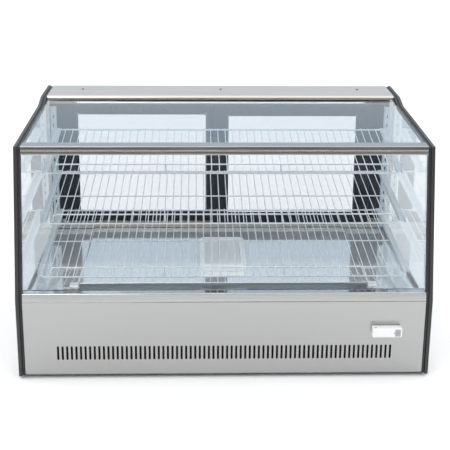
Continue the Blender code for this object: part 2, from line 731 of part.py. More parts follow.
def build_condenser(materials):
    coil = finned_coil((CONDENSER_X - 0.150, -0.330, 0.030), (CONDENSER_X + 0.150, -0.295, 0.140), 18)
    place("condenser_coil", coil, materials["copper_fins"])
    sides = 24
    hole = circle((CONDENSER_X, CONDENSER_Z), 0.050, sides)
    square = []
    for x, z in circle((0.0, 0.0), 1.0, sides):
        reach = 0.062 / max(abs(x), abs(z))
        square.append((CONDENSER_X + x * reach, CONDENSER_Z + z * reach))
    shroud = ring_prism(square, hole, -0.290, -0.250, "Y")
    place("condenser_fan_shroud", shroud, materials["black_plastic"])
    spin = joint_empty("condenser_fan_axis", (CONDENSER_X, FAN_Y, CONDENSER_Z))
    rotor = prism(rotor_outline(0.016, 0.046, 5), -0.008, 0.008, "Y")
    place("condenser_fan_rotor", rotor, materials["black_plastic"], parent=spin)


def build_compressor(materials):
    """A hermetic shell, turned from a rounded profile."""
    profile = [(0.0, 0.0), (0.050, 0.0), (0.066, 0.012), (0.070, 0.040), (0.070, 0.080)]
    for step in range(1, 6):
        angle = math.pi / 2 * step / 6
        profile.append((0.070 * math.cos(angle), 0.080 + 0.042 * math.sin(angle)))
    profile.append((0.0, 0.122))
    shell = bmesh.new()
    points = [shell.verts.new((x, 0.0, z)) for x, z in profile]
    edges = [shell.edges.new(pair) for pair in zip(points, points[1:])]
    bmesh.ops.spin(
        shell, geom=points + edges, cent=(0, 0, 0), axis=(0, 0, 1), angle=2 * math.pi, steps=24, use_merge=True
    )
    bmesh.ops.remove_doubles(shell, verts=shell.verts, dist=0.00001)
    place("compressor", shell, materials["black_plastic"], location=(-0.120, 0.020, 0.016), smooth=True)


def build_evaporator(materials):
    coil = finned_coil((-0.380, -0.120, 0.176), (0.180, 0.060, 0.214), 20)
    place("evaporator_coil", coil, materials["copper_fins"])
    spin = joint_empty("evaporator_fan_axis", EVAPORATOR_FAN)
    rotor = prism(rotor_outline(0.018, 0.058, 7), -0.010, 0.010, "Z")
    place("evaporator_fan_rotor", rotor, materials["black_plastic"], parent=spin)


# ---------------------------------------------------------------- controller
def build_controller(materials):
    width, depth, height = CONTROL_SIZE
    low = CONTROL_LOW_Z
    middle = low + height / 2
    cuts_x = [CONTROL_X - width / 2]
    for x in BUTTON_X:
        cuts_x += [x - BUTTON_HOLE / 2, x + BUTTON_HOLE / 2]
    cuts_x.append(CONTROL_X + width / 2)
    cuts_z = [low, middle - BUTTON_HOLE / 2, middle + BUTTON_HOLE / 2, low + height]
    housing = grid_plate(
        cuts_x, cuts_z, lambda i, j: j != 1 or i % 2 == 0, CONTROL_FRONT_Y, CONTROL_FRONT_Y + depth, "Y"
    )
    place("controller_housing", housing, materials["white_plastic"])
    for name, x in zip(("button_down", "button_up"), BUTTON_X):
        travel = joint_empty(name + "_travel", (x, CONTROL_FRONT_Y, middle))
        half = BUTTON / 2
        cap = box((-half, -BUTTON_PROUD, -half), (half, 0.009, half))
        place(name, cap, materials["light_grey"], parent=travel)


def main():
    clear_scene()
    materials = make_materials()
    build_sides(materials)
    build_base(materials)
    build_front_panel(materials)
    build_sill(materials)
    build_rear_panel(materials)
    build_switch(materials)
    build_front_glass(materials)
    build_top_rail(materials)
    build_top_glass(materials)
    build_top_panel(materials)
    build_lamp(materials)
    build_door(materials, "left", LEFT_DOOR_X, REAR_TRACK_Y)
    build_door(materials, "right", RIGHT_DOOR_X, FRONT_TRACK_Y)
    build_tracks(materials)
    build_uprights(materials)
    build_shelves(materials)
    build_brackets(materials)
    build_tub_and_deck(materials)
    build_water_tray(materials)
    build_condenser(materials)
    build_compressor(materials)
    build_evaporator(materials)
    build_controller(materials)


main()
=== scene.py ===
"""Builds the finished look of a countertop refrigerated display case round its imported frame.

Metres, +Z up, the front faces -Y. Every operator makes one piece, or one group of like pieces.
"""

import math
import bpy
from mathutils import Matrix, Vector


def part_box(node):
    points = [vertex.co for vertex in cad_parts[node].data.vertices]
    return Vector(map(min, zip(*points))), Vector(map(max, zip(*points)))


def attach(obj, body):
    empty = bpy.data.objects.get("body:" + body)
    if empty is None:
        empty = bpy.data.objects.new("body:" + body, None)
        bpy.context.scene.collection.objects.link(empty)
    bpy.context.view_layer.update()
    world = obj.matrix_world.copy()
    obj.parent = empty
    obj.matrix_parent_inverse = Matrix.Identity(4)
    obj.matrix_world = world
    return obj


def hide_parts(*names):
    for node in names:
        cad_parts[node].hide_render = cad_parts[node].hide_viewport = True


bl_info = {
    "name": "Display Case Builder",
    "version": (1, 0, 0),
    "blender": (4, 5, 0),
    "location": "View3D > Sidebar > Display Case",
    "description": "Builds a refrigerated glass display case from bent steel, wire, rubber and glass pieces",
    "category": "Add Mesh",
}

import bmesh
import bpy
from bpy.props import FloatProperty, FloatVectorProperty, IntProperty, PointerProperty
from mathutils import Matrix, Vector

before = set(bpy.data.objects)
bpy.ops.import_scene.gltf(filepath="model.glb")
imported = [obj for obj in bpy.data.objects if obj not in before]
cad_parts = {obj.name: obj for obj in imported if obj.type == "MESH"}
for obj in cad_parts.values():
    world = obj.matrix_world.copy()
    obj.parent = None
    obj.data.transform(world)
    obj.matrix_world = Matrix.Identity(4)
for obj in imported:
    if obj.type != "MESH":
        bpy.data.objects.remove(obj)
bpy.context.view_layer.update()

X_AXIS = Vector((1.0, 0.0, 0.0))
Y_AXIS = Vector((0.0, 1.0, 0.0))
Z_AXIS = Vector((0.0, 0.0, 1.0))
HALF_TURN = math.pi
QUARTER_TURN = math.pi / 2
MERGE = 0.00002
ALONG_X = (0.6, 90.0, 90.0)
EVERY_WAY = (1.0, 1.0, 1.0)
SHEET_GRAIN = (5.0, 1.6, 300.0)
DRAWN_GRAIN = (6.0, 2.5, 400.0)
DUST_COLOUR = (0.46, 0.43, 0.39)
SKY_COLOUR = (0.985, 0.992, 1.0)
FRONT_LEAN = 0.1822
UPRIGHT_SLOT_X = 0.5625
BRACKET_REACH = 0.93
RAISED_HALF = 0.440
VENT_HALF = 0.434
AIR_SLOT = 0.015
SILL_BAND = 0.0143
ROOF_FALL = 0.0058
ROOF_LIP = 0.013
RAIL_FACE = 0.025
HOOK_HALF = 0.0011
ROD_LEVEL = 0.0021
CLIP_X = 0.452
CLIP_HALF = 0.012
LOUVRES = 26
LOUVRE_PITCH = 0.028
LOUVRE_WIDTH = 0.012
LOUVRE_START = -0.350
LOUVRE_ENDS = (0.075, 0.140)
FINISH_PREFIX = "case_"


# ---------------------------------------------------------------- sizes and colours
class CaseSizes(bpy.types.PropertyGroup):
    """Sizes of the details that are added to the frame."""

    sheet: FloatProperty(name="Sheet", description="Steel sheet thickness", default=0.0015, unit="LENGTH")
    panel_sheet: FloatProperty(
        name="Panel Sheet", description="Front panel and deck thickness", default=0.002, unit="LENGTH"
    )
    bend: FloatProperty(
        name="Bend", description="Outside radius of a folded edge", default=0.0025, unit="LENGTH"
    )
    top_roll: FloatProperty(
        name="Top Roll", description="Radius of the top panel's front roll", default=0.009, unit="LENGTH"
    )
    deck_seam: FloatProperty(
        name="Deck Seam", description="From the deck's rear edge to its seam", default=0.300, unit="LENGTH"
    )
    slot_count: IntProperty(name="Slots", description="Vent slots in the front panel", default=74, min=1)
    slot_pitch: FloatProperty(
        name="Slot Pitch", description="Distance between vent slots", default=0.01324, unit="LENGTH"
    )
    slot_width: FloatProperty(
        name="Slot Width", description="Width of a vent slot", default=0.0064, unit="LENGTH"
    )
    slot_low: FloatProperty(
        name="Slot Bottom", description="Height of the slots' lower ends", default=0.0615, unit="LENGTH"
    )
    slot_high: FloatProperty(
        name="Slot Top", description="Height of the slots' upper ends", default=0.105, unit="LENGTH"
    )
    wire: FloatProperty(name="Wire", description="Diameter of a shelf wire", default=0.003, unit="LENGTH")
    rod: FloatProperty(
        name="Rod", description="Diameter of a shelf's frame rod", default=0.005, unit="LENGTH"
    )
    wire_pitch: FloatProperty(
        name="Wire Pitch", description="Distance between shelf wires", default=0.024, unit="LENGTH"
    )
    wire_count: IntProperty(name="Wires", description="Wires across one shelf", default=46, min=2)
    rod_bend: FloatProperty(
        name="Rod Bend", description="Corner radius of a shelf's frame rod", default=0.014, unit="LENGTH"
    )
    diode_pitch: FloatProperty(
        name="Diode Pitch", description="Distance between lamp diodes", default=0.0085, unit="LENGTH"
    )
    edge_round: FloatProperty(
        name="Trim Round", description="Edge radius of the side trims", default=0.003, unit="LENGTH"
    )


class CaseFinishes(bpy.types.PropertyGroup):
    """Colours of the finishes, linear."""

    brushed_steel: FloatVectorProperty(
        name="Brushed Steel", description="Front panel", default=(0.425, 0.423, 0.42), subtype="COLOR"
    )
    top_steel: FloatVectorProperty(
        name="Top Steel", description="Rear top panel", default=(0.63, 0.60, 0.575), subtype="COLOR"
    )
    # A brighter copy of the brushed steel: a painted reflection of the floor in the sill band.
    sill_lit_steel: FloatVectorProperty(
        name="Sill Steel", description="Front band of the sill", default=(0.60, 0.595, 0.59), subtype="COLOR"
    )
    deck_steel: FloatVectorProperty(
        name="Deck Steel", description="Deck and its apron", default=(0.95, 0.955, 0.955), subtype="COLOR"
    )
    polished_steel: FloatVectorProperty(
        name="Polished Steel", description="Top of the sill", default=(0.74, 0.76, 0.775), subtype="COLOR"
    )
    aluminium: FloatVectorProperty(
        name="Aluminium", description="Front of the top rail", default=(0.415, 0.418, 0.42), subtype="COLOR"
    )
    galvanised: FloatVectorProperty(
        name="Galvanised Steel", description="Base and service cover", default=(0.42, 0.43, 0.44), subtype="COLOR"
    )
    edge_trim: FloatVectorProperty(
        name="Edge Trim", description="Side frame trims", default=(0.048, 0.046, 0.045), subtype="COLOR"
    )
    rubber: FloatVectorProperty(
        name="Rubber", description="Seals and feet", default=(0.012, 0.013, 0.018), subtype="COLOR"
    )
    door_frame: FloatVectorProperty(
        name="Door Frame", description="Door sashes and door frame", default=(0.008, 0.011, 0.020), subtype="COLOR"
    )
    shelf_white: FloatVectorProperty(
        name="Shelf White", description="Coated shelf wire", default=(0.74, 0.76, 0.78), subtype="COLOR"
    )
    bracket: FloatVectorProperty(
        name="Bracket", description="Brackets and uprights", default=(0.56, 0.61, 0.66), subtype="COLOR"
    )
    plastic: FloatVectorProperty(
        name="White Plastic", description="Controller and clips", default=(0.83, 0.84, 0.84), subtype="COLOR"
    )
    # The white plastic made brighter: painted light that makes up for the shade on the tray inside the case.
    tray: FloatVectorProperty(
        name="Tray", description="Humidity tray", default=(0.93, 0.95, 0.955), subtype="COLOR"
    )
    liner: FloatVectorProperty(
        name="Liner", description="Insulated tub", default=(0.72, 0.74, 0.76), subtype="COLOR"
    )
    glass: FloatVectorProperty(
        name="Glass Tint", description="Tint of the panes", default=(0.875, 0.905, 0.92), subtype="COLOR"
    )
    door_glass: FloatVectorProperty(
        name="Door Glass Tint", description="Tint of the door panes", default=(0.815, 0.808, 0.828), subtype="COLOR"
    )
    fins: FloatVectorProperty(
        name="Fins", description="Heat exchanger fins", default=(0.62, 0.58, 0.52), subtype="COLOR"
    )
    lamp: FloatVectorProperty(
        name="Lamp", description="Light of the lamp strip", default=(0.90, 0.96, 1.0), subtype="COLOR"
    )
    lamp_power: FloatProperty(name="Lamp Power", description="Brightness of a diode", default=2.2, min=0.0)


class StudioSettings(bpy.types.PropertyGroup):
    """The pale floor, the soft light and the camera."""

    floor: FloatVectorProperty(
        name="Floor", description="Floor colour", default=(0.93, 0.93, 0.93), subtype="COLOR"
    )
    sky: FloatProperty(name="Sky", description="Strength of the even light", default=1.5, min=0.0)
    front_dark: FloatProperty(
        name="Front Dark", description="How dark the room is in front", default=0.96, max=1.0
    )
    rear_tint: FloatVectorProperty(
        name="Rear Tint", description="Colour of the sky low down behind", default=(0.70, 0.86, 1.0), subtype="COLOR"
    )
    rear_soft: FloatProperty(
        name="Rear Soft", description="How much softer it is behind", default=0.46, max=1.0
    )
    key: FloatProperty(name="Key", description="Power of the main soft light", default=18.0, unit="POWER")
    fill: FloatProperty(name="Fill", description="Power of the side soft light", default=10.0, unit="POWER")
    camera_place: FloatVectorProperty(
        name="Camera", description="Where the camera stands", default=(-0.08095, -2.93835, 1.35462), unit="LENGTH"
    )
    camera_turn: FloatVectorProperty(
        name="Camera Turn",
        description="Turn to the right, pitch down and roll",
        default=(math.radians(1.712), math.radians(14.434), math.radians(0.433)),
        unit="ROTATION",
    )
    lens: FloatProperty(name="Lens", description="Focal length in millimetres", default=77.24)
    shift: FloatProperty(name="Shift", description="Vertical lens shift", default=-0.1667)


# ---------------------------------------------------------------- node groups and finishes
def multiply(tree, first, second):
    node = tree.nodes.new("ShaderNodeMath")
    node.operation = "MULTIPLY"
    tree.links.new(first, node.inputs[0])
    tree.links.new(second, node.inputs[1])
    return node.outputs["Value"]


def make_texture_group():
    """Stretched grain, slow patches and fine peel at a point on the piece."""
    group = bpy.data.node_groups.new("surface_texture", "ShaderNodeTree")
    face = group.interface
    face.new_socket("Point", in_out="INPUT", socket_type="NodeSocketVector")
    face.new_socket("Stretch", in_out="INPUT", socket_type="NodeSocketVector")
    for name in ("Grain Scale", "Patch Scale", "Peel Scale"):
        face.new_socket(name, in_out="INPUT", socket_type="NodeSocketFloat")
    for name in ("Grain", "Patches", "Peel"):
        face.new_socket(name, in_out="OUTPUT", socket_type="NodeSocketFloat")
    nodes, links = group.nodes, group.links
    entry = nodes.new("NodeGroupInput")
    leave = nodes.new("NodeGroupOutput")
    stretch = nodes.new("ShaderNodeVectorMath")
    stretch.operation = "MULTIPLY"
    links.new(entry.outputs["Point"], stretch.inputs[0])
    links.new(entry.outputs["Stretch"], stretch.inputs[1])
    for name, scale, detail in (
        ("Grain", "Grain Scale", 4.0),
        ("Patches", "Patch Scale", 3.0),
        ("Peel", "Peel Scale", 1.0),
    ):
        noise = nodes.new("ShaderNodeTexNoise")
        noise.inputs["Detail"].default_value = detail
        source = stretch.outputs["Vector"] if name == "Grain" else entry.outputs["Point"]
        links.new(source, noise.inputs["Vector"])
        links.new(entry.outputs[scale], noise.inputs["Scale"])
        links.new(noise.outputs["Fac"], leave.inputs[name])


def make_dust_group():
    """A mask of dust that settles towards the bottom of a piece, broken up by noise."""
    group = bpy.data.node_groups.new("settled_dust", "ShaderNodeTree")
    face = group.interface
    face.new_socket("Point", in_out="INPUT", socket_type="NodeSocketVector")
    for name in ("Bottom", "Top", "Amount"):
        face.new_socket(name, in_out="INPUT", socket_type="NodeSocketFloat")
    face.new_socket("Mask", in_out="OUTPUT", socket_type="NodeSocketFloat")
    nodes, links = group.nodes, group.links
    entry = nodes.new("NodeGroupInput")
    leave = nodes.new("NodeGroupOutput")
    split = nodes.new("ShaderNodeSeparateXYZ")
    links.new(entry.outputs["Point"], split.inputs["Vector"])
    fall = nodes.new("ShaderNodeMapRange")
    links.new(split.outputs["Z"], fall.inputs["Value"])
    links.new(entry.outputs["Bottom"], fall.inputs["From Min"])
    links.new(entry.outputs["Top"], fall.inputs["From Max"])
    links.new(entry.outputs["Amount"], fall.inputs["To Min"])
    fall.inputs["To Max"].default_value = 0.0
    noise = nodes.new("ShaderNodeTexNoise")
    noise.inputs["Scale"].default_value = 55.0
    noise.inputs["Detail"].default_value = 5.0
    links.new(entry.outputs["Point"], noise.inputs["Vector"])
    spread = nodes.new("ShaderNodeMapRange")
    spread.inputs["From Min"].default_value = 0.38
    spread.inputs["From Max"].default_value = 0.68
    links.new(noise.outputs["Fac"], spread.inputs["Value"])
    links.new(multiply(group, fall.outputs["Result"], spread.outputs["Result"]), leave.inputs["Mask"])


def map_value(tree, source, out_low, out_high, in_low=0.35, in_high=0.65):
    node = tree.nodes.new("ShaderNodeMapRange")
    node.inputs["From Min"].default_value = in_low
    node.inputs["From Max"].default_value = in_high
    node.inputs["To Min"].default_value = out_low
    node.inputs["To Max"].default_value = out_high
    tree.links.new(source, node.inputs["Value"])
    return node.outputs["Result"]


def mix_colour(tree, factor, first, second):
    """Mixes two colours; each is a socket or a plain colour."""
    node = tree.nodes.new("ShaderNodeMix")
    node.data_type = "RGBA"
    tree.links.new(factor, node.inputs["Factor"])
    for index, colour in ((6, first), (7, second)):
        if isinstance(colour, bpy.types.NodeSocket):
            tree.links.new(colour, node.inputs[index])
        else:
            node.inputs[index].default_value = (*colour, 1.0)
    return node.outputs[2]


def shade(colour, factor):
    return tuple(min(1.0, channel * factor) for channel in colour)


def start_material(name, stretch, scales):
    """Starts a material with the texture group on object coordinates."""
    material = bpy.data.materials.new(FINISH_PREFIX + name)
    material.use_nodes = True
    tree = material.node_tree
    point = tree.nodes.new("ShaderNodeTexCoord").outputs["Object"]
    texture = tree.nodes.new("ShaderNodeGroup")
    texture.node_tree = bpy.data.node_groups["surface_texture"]
    texture.inputs["Stretch"].default_value = stretch
    for socket_name, scale in zip(("Grain Scale", "Patch Scale", "Peel Scale"), scales):
        texture.inputs[socket_name].default_value = scale
    tree.links.new(point, texture.inputs["Point"])
    return tree, point, texture


def add_bump(tree, shader, height, strength, distance):
    bump = tree.nodes.new("ShaderNodeBump")
    bump.inputs["Strength"].default_value = strength
    bump.inputs["Distance"].default_value = distance
    tree.links.new(height, bump.inputs["Height"])
    tree.links.new(bump.outputs["Normal"], shader.inputs["Normal"])


def make_finish(
    name,
    colour,
    rough,
    metallic=0.0,
    stretch=EVERY_WAY,
    scales=(60.0, 3.0, 500.0),
    contrast=0.12,
    relief="Peel",
    bump=0.15,
    depth=0.0002,
    coat=0.0,
    dust=None,
    through=0.0,
):
    """A solid finish: grained colour, patchy roughness and a fine relief."""
    tree, point, texture = start_material(name, stretch, scales)
    shader = tree.nodes["Principled BSDF"]
    grain = map_value(tree, texture.outputs["Grain"], 0.0, 1.0)
    patches = map_value(tree, texture.outputs["Patches"], 0.0, 1.0)
    tone = mix_colour(tree, grain, shade(colour, 1.0 - contrast), shade(colour, 1.0 + contrast))
    tone = mix_colour(tree, patches, tone, colour)
    if dust:
        settled = tree.nodes.new("ShaderNodeGroup")
        settled.node_tree = bpy.data.node_groups["settled_dust"]
        bottom, top, amount = dust
        settled.inputs["Bottom"].default_value = bottom
        settled.inputs["Top"].default_value = top
        settled.inputs["Amount"].default_value = amount
        tree.links.new(point, settled.inputs["Point"])
        tone = mix_colour(tree, settled.outputs["Mask"], tone, DUST_COLOUR)
    tree.links.new(tone, shader.inputs["Base Color"])
    rough_source = texture.outputs["Grain"] if relief == "Grain" else texture.outputs["Patches"]
    tree.links.new(map_value(tree, rough_source, rough[0], rough[1]), shader.inputs["Roughness"])
    shader.inputs["Metallic"].default_value = metallic
    shader.inputs["Coat Weight"].default_value = coat
    shader.inputs["Coat Roughness"].default_value = 0.12
    shader.inputs["Transmission Weight"].default_value = through
    add_bump(tree, shader, texture.outputs[relief], bump, depth)


def make_glass(name, tint, rough, bending):
    """Clear glass that lets the lamps' light through to what stands behind it."""
    tree, _, texture = start_material(name, EVERY_WAY, (8.0, 5.0, 120.0))
    shader = tree.nodes["Principled BSDF"]
    patches = map_value(tree, texture.outputs["Patches"], 0.0, 1.0)
    tree.links.new(mix_colour(tree, patches, tint, shade(tint, 1.015)), shader.inputs["Base Color"])
    tree.links.new(map_value(tree, texture.outputs["Grain"], 0.0, rough), shader.inputs["Roughness"])
    shader.inputs["Transmission Weight"].default_value = 1.0
    shader.inputs["IOR"].default_value = bending
    add_bump(tree, shader, texture.outputs["Patches"], 0.02, 0.0004)
    clear = tree.nodes.new("ShaderNodeBsdfTransparent")
    clear.inputs["Color"].default_value = (*shade(tint, 0.97), 1.0)
    path = tree.nodes.new("ShaderNodeLightPath")
    choose = tree.nodes.new("ShaderNodeMixShader")
    tree.links.new(path.outputs["Is Shadow Ray"], choose.inputs[0])
    tree.links.new(shader.outputs["BSDF"], choose.inputs[1])
    tree.links.new(clear.outputs["BSDF"], choose.inputs[2])
    output = next(node for node in tree.nodes if node.type == "OUTPUT_MATERIAL")
    tree.links.new(choose.outputs["Shader"], output.inputs["Surface"])


def make_glow(name, colour, strength):
    """A lamp diode's phosphor, a little uneven."""
    tree, _, texture = start_material(name, EVERY_WAY, (900.0, 90.0, 1500.0))
    shader = tree.nodes["Principled BSDF"]
    grain = map_value(tree, texture.outputs["Grain"], 0.0, 1.0)
    light = mix_colour(tree, grain, shade(colour, 0.92), colour)
    tree.links.new(light, shader.inputs["Base Color"])
    tree.links.new(light, shader.inputs["Emission Color"])
    tree.links.new(map_value(tree, texture.outputs["Patches"], 0.25, 0.4), shader.inputs["Roughness"])
    shader.inputs["Emission Strength"].default_value = strength
    add_bump(tree, shader, texture.outputs["Peel"], 0.1, 0.0001)


def make_metals(looks):
    """Sheet and drawn metals, brushed along the case's width, then those with no direction."""
    for name, colour, rough, metallic, scales, contrast, bump in (
        ("brushed_steel", looks.brushed_steel, (0.17, 0.27), 1.0, SHEET_GRAIN, 0.018, 0.02),
        # The sill band's steel is the brushed steel made brighter: a painted reflection of the floor.
        ("sill_lit_steel", looks.sill_lit_steel, (0.14, 0.22), 1.0, SHEET_GRAIN, 0.018, 0.02),
        ("top_steel", looks.top_steel, (0.26, 0.38), 1.0, SHEET_GRAIN, 0.03, 0.04),
        ("polished_steel", looks.polished_steel, (0.03, 0.07), 1.0, (4.0, 2.0, 300.0), 0.02, 0.02),
        ("aluminium", looks.aluminium, (0.22, 0.32), 1.0, DRAWN_GRAIN, 0.05, 0.06),
        # A near-white copy of the aluminium: a painted highlight on the rail's upward faces, its groove and the lower
        # door track.
        ("rail_bright", (0.96, 0.92, 0.88), (0.18, 0.28), 1.0, DRAWN_GRAIN, 0.03, 0.04),
        ("lamp_grey", (0.05, 0.07, 0.095), (0.3, 0.42), 0.6, DRAWN_GRAIN, 0.08, 0.05),
        ("vent_grey", (0.13, 0.165, 0.18), (0.2, 0.32), 0.7, DRAWN_GRAIN, 0.08, 0.05),
    ):
        make_finish(name, colour, rough, metallic, ALONG_X, scales, contrast, "Grain", bump, 0.0001)
    waves = (4.0, 11.0, 300.0)
    make_finish(
        "deck_steel", looks.deck_steel, (0.04, 0.10), 0.72, ALONG_X, waves, 0.02, "Patches", 0.25, 0.0009
    )
    pitted = (8.0, 4.0, 700.0)
    make_finish(
        "edge_trim", looks.edge_trim, (0.32, 0.46), 0.35, (60.0, 2.0, 2.0), pitted, 0.10, "Peel", 0.12
    )
    for name, colour, rough, metallic, scales, contrast, bump, dust in (
        ("galvanised", looks.galvanised, (0.38, 0.56), 1.0, (35.0, 18.0, 500.0), 0.22, 0.1, (0.0, 0.16, 0.5)),
        ("fin_metal", looks.fins, (0.34, 0.5), 1.0, (200.0, 20.0, 600.0), 0.15, 0.15, (0.02, 0.16, 0.6)),
        # Black paint on the condenser fins, dark enough to also stand in for the shade seen through the front slots:
        # painted shade.
        ("black_fins_and_shade", (0.03, 0.03, 0.032), (0.4, 0.6), 0.0, (200.0, 20.0, 600.0), 0.2, 0.15, (0.02, 0.16, 0.12)),
        ("copper_tube", (0.62, 0.31, 0.20), (0.25, 0.4), 1.0, (80.0, 14.0, 600.0), 0.18, 0.15, None),
        ("screw_steel", (0.16, 0.16, 0.16), (0.2, 0.3), 1.0, (200.0, 40.0, 600.0), 0.1, 0.15, None),
    ):
        make_finish(name, colour, rough, metallic, scales=scales, contrast=contrast, bump=bump, dust=dust)


def make_plastics(looks):
    """Rubber, paint and moulded plastic."""
    for name, colour, rough, scales, contrast, bump, coat in (
        ("seal_rubber", looks.rubber, (0.42, 0.6), (300.0, 12.0, 900.0), 0.2, 0.25, 0.1),
        ("door_black", looks.door_frame, (0.26, 0.38), (240.0, 6.0, 800.0), 0.15, 0.12, 0.25),
        ("shelf_white", looks.shelf_white, (0.24, 0.34), (120.0, 9.0, 700.0), 0.03, 0.15, 0.3),
        ("bracket_grey", looks.bracket, (0.30, 0.42), (150.0, 9.0, 800.0), 0.04, 0.2, 0.15),
        ("white_plastic", looks.plastic, (0.28, 0.38), (90.0, 8.0, 900.0), 0.02, 0.12, 0.2),
        # The tray's white is the white plastic made brighter: painted light against the shade inside the case.
        ("tray_lit_white", looks.tray, (0.28, 0.38), (90.0, 8.0, 900.0), 0.02, 0.12, 0.2),
        ("grey_plastic", (0.36, 0.39, 0.41), (0.3, 0.42), (90.0, 9.0, 900.0), 0.05, 0.15, 0.0),
        ("black_plastic", (0.018, 0.018, 0.019), (0.34, 0.48), (200.0, 9.0, 700.0), 0.15, 0.2, 0.0),
        # The filter's near-black is painted shade: it makes the front slots read dark.
        ("filter_black", (0.006, 0.006, 0.007), (0.8, 0.95), (700.0, 30.0, 900.0), 0.3, 0.3, 0.0),
        ("liner_white", looks.liner, (0.34, 0.48), (60.0, 6.0, 500.0), 0.03, 0.2, 0.0),
        ("lamp_board", (0.30, 0.36, 0.42), (0.3, 0.4), (200.0, 20.0, 900.0), 0.03, 0.15, 0.0),
    ):
        make_finish(name, colour, rough, scales=scales, contrast=contrast, bump=bump, coat=coat)
    worn = (200.0, 20.0, 900.0)
    make_finish("foot_rubber", looks.rubber, (0.6, 0.8), scales=worn, contrast=0.2, dust=(0.0, 0.01, 0.35))
    # The well uses the same brightened tray colour, so it carries the painted light too.
    milky = (60.0, 9.0, 900.0)
    make_finish(
        "frosted_plastic", looks.tray, (0.30, 0.44), scales=milky, contrast=0.02, bump=0.1, through=0.22
    )


def finish(name):
    return bpy.data.materials[FINISH_PREFIX + name]


# ---------------------------------------------------------------- shaping helpers
def new_verts(result):
    return [item for item in result if isinstance(item, bmesh.types.BMVert)]


def new_piece(name, shape, finishes, body, replaced=(), sharp=32.0):
    """Turns a shape into a piece on a body, in place of the nodes it stands for."""
    bmesh.ops.remove_doubles(shape, verts=shape.verts, dist=MERGE)
    bmesh.ops.recalc_face_normals(shape, faces=shape.faces)
    if not shape.faces:
        raise RuntimeError(name + " has no faces")
    mesh = bpy.data.meshes.new(name)
    shape.to_mesh(mesh)
    shape.free()
    mesh.shade_smooth()
    mesh.set_sharp_from_angle(angle=math.radians(sharp))
    for item in [finishes] if isinstance(finishes, str) else finishes:
        mesh.materials.append(finish(item))
    piece = bpy.data.objects.new(name, mesh)
    bpy.context.scene.collection.objects.link(piece)
    level = piece.modifiers.new("level_normals", "WEIGHTED_NORMAL")
    level.keep_sharp = True
    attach(piece, body)
    if replaced:
        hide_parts(*replaced)
    return piece


def soft_edges(shape, edges, radius, segments=3):
    bmesh.ops.bevel(
        shape,
        geom=list(edges),
        offset=radius,
        offset_type="OFFSET",
        segments=segments,
        profile=0.5,
        affect="EDGES",
        clamp_overlap=True,
        material=-1,
    )


def sharp_edges(shape, angle=25.0):
    limit = math.radians(angle)
    return [edge for edge in shape.edges if len(edge.link_faces) == 2 and edge.calc_face_angle() > limit]


def merged_copy(node):
    """A frame node's mesh with its loose triangles joined into plain faces."""
    shape = bmesh.new()
    shape.from_mesh(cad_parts[node].data)
    bmesh.ops.remove_doubles(shape, verts=shape.verts, dist=MERGE)
    bmesh.ops.dissolve_limit(
        shape, angle_limit=math.radians(0.5), use_dissolve_boundaries=False, verts=shape.verts, edges=shape.edges
    )
    return shape


def rounded_node(node, finish_name, body, radius, segments=2):
    """Stands in for a node whose outline is right but whose edges are too sharp."""
    shape = merged_copy(node)
    soft_edges(shape, sharp_edges(shape), radius, segments)
    return new_piece(node + "_rounded", shape, finish_name, body, (node,))


def block(shape, low, high, radius=0.0, segments=2, material=0):
    """Adds a box between two corners, with rounded edges."""
    low = Vector(low)
    size = Vector(high) - low
    part = bmesh.new()
    bmesh.ops.create_cube(part, size=1.0)
    bmesh.ops.scale(part, vec=size, verts=part.verts)
    bmesh.ops.translate(part, vec=low + size / 2, verts=part.verts)
    if radius:
        soft_edges(part, part.edges, radius, segments)
    add_part(shape, part, material)


def add_part(shape, part, material=0):
    """Adds a finished part to a shape, as a mesh of its own."""
    for face in part.faces:
        face.material_index = material
    bmesh.ops.recalc_face_normals(part, faces=part.faces)
    mesh = bpy.data.meshes.new("part")
    part.to_mesh(mesh)
    part.free()
    shape.from_mesh(mesh)
    bpy.data.meshes.remove(mesh)


def face_outwards(shape, outward):
    """Turns an open sheet so that its largest face looks along a direction."""
    bmesh.ops.recalc_face_normals(shape, faces=shape.faces)
    largest = max(shape.faces, key=lambda face: face.calc_area())
    if largest.normal.dot(Vector(outward)) < 0:
        bmesh.ops.reverse_faces(shape, faces=shape.faces)


def extend_border(shape, axis, value, step):
    """Extrudes the open edges on a plane across an axis; returns the line they leave behind."""
    edges = [
        edge
        for edge in shape.edges
        if len(edge.link_faces) == 1 and all(abs(vert.co[axis] - value) < MERGE for vert in edge.verts)
    ]
    out = bmesh.ops.extrude_edge_only(shape, edges=edges)["geom"]
    bmesh.ops.translate(shape, vec=step, verts=new_verts(out))
    return edges


def edges_along(shape, axis, reach):
    """The edges that span more than a length along an axis."""
    return [edge for edge in shape.edges if abs(edge.verts[0].co[axis] - edge.verts[1].co[axis]) > reach]


def foot_of(low, high):
    """The middle of a box's lowest face."""
    return Vector(((low.x + high.x) / 2, (low.y + high.y) / 2, low.z))


def spun(shape, angle, axis):
    bmesh.ops.rotate(shape, cent=(0, 0, 0), matrix=Matrix.Rotation(angle, 3, axis), verts=shape.verts)


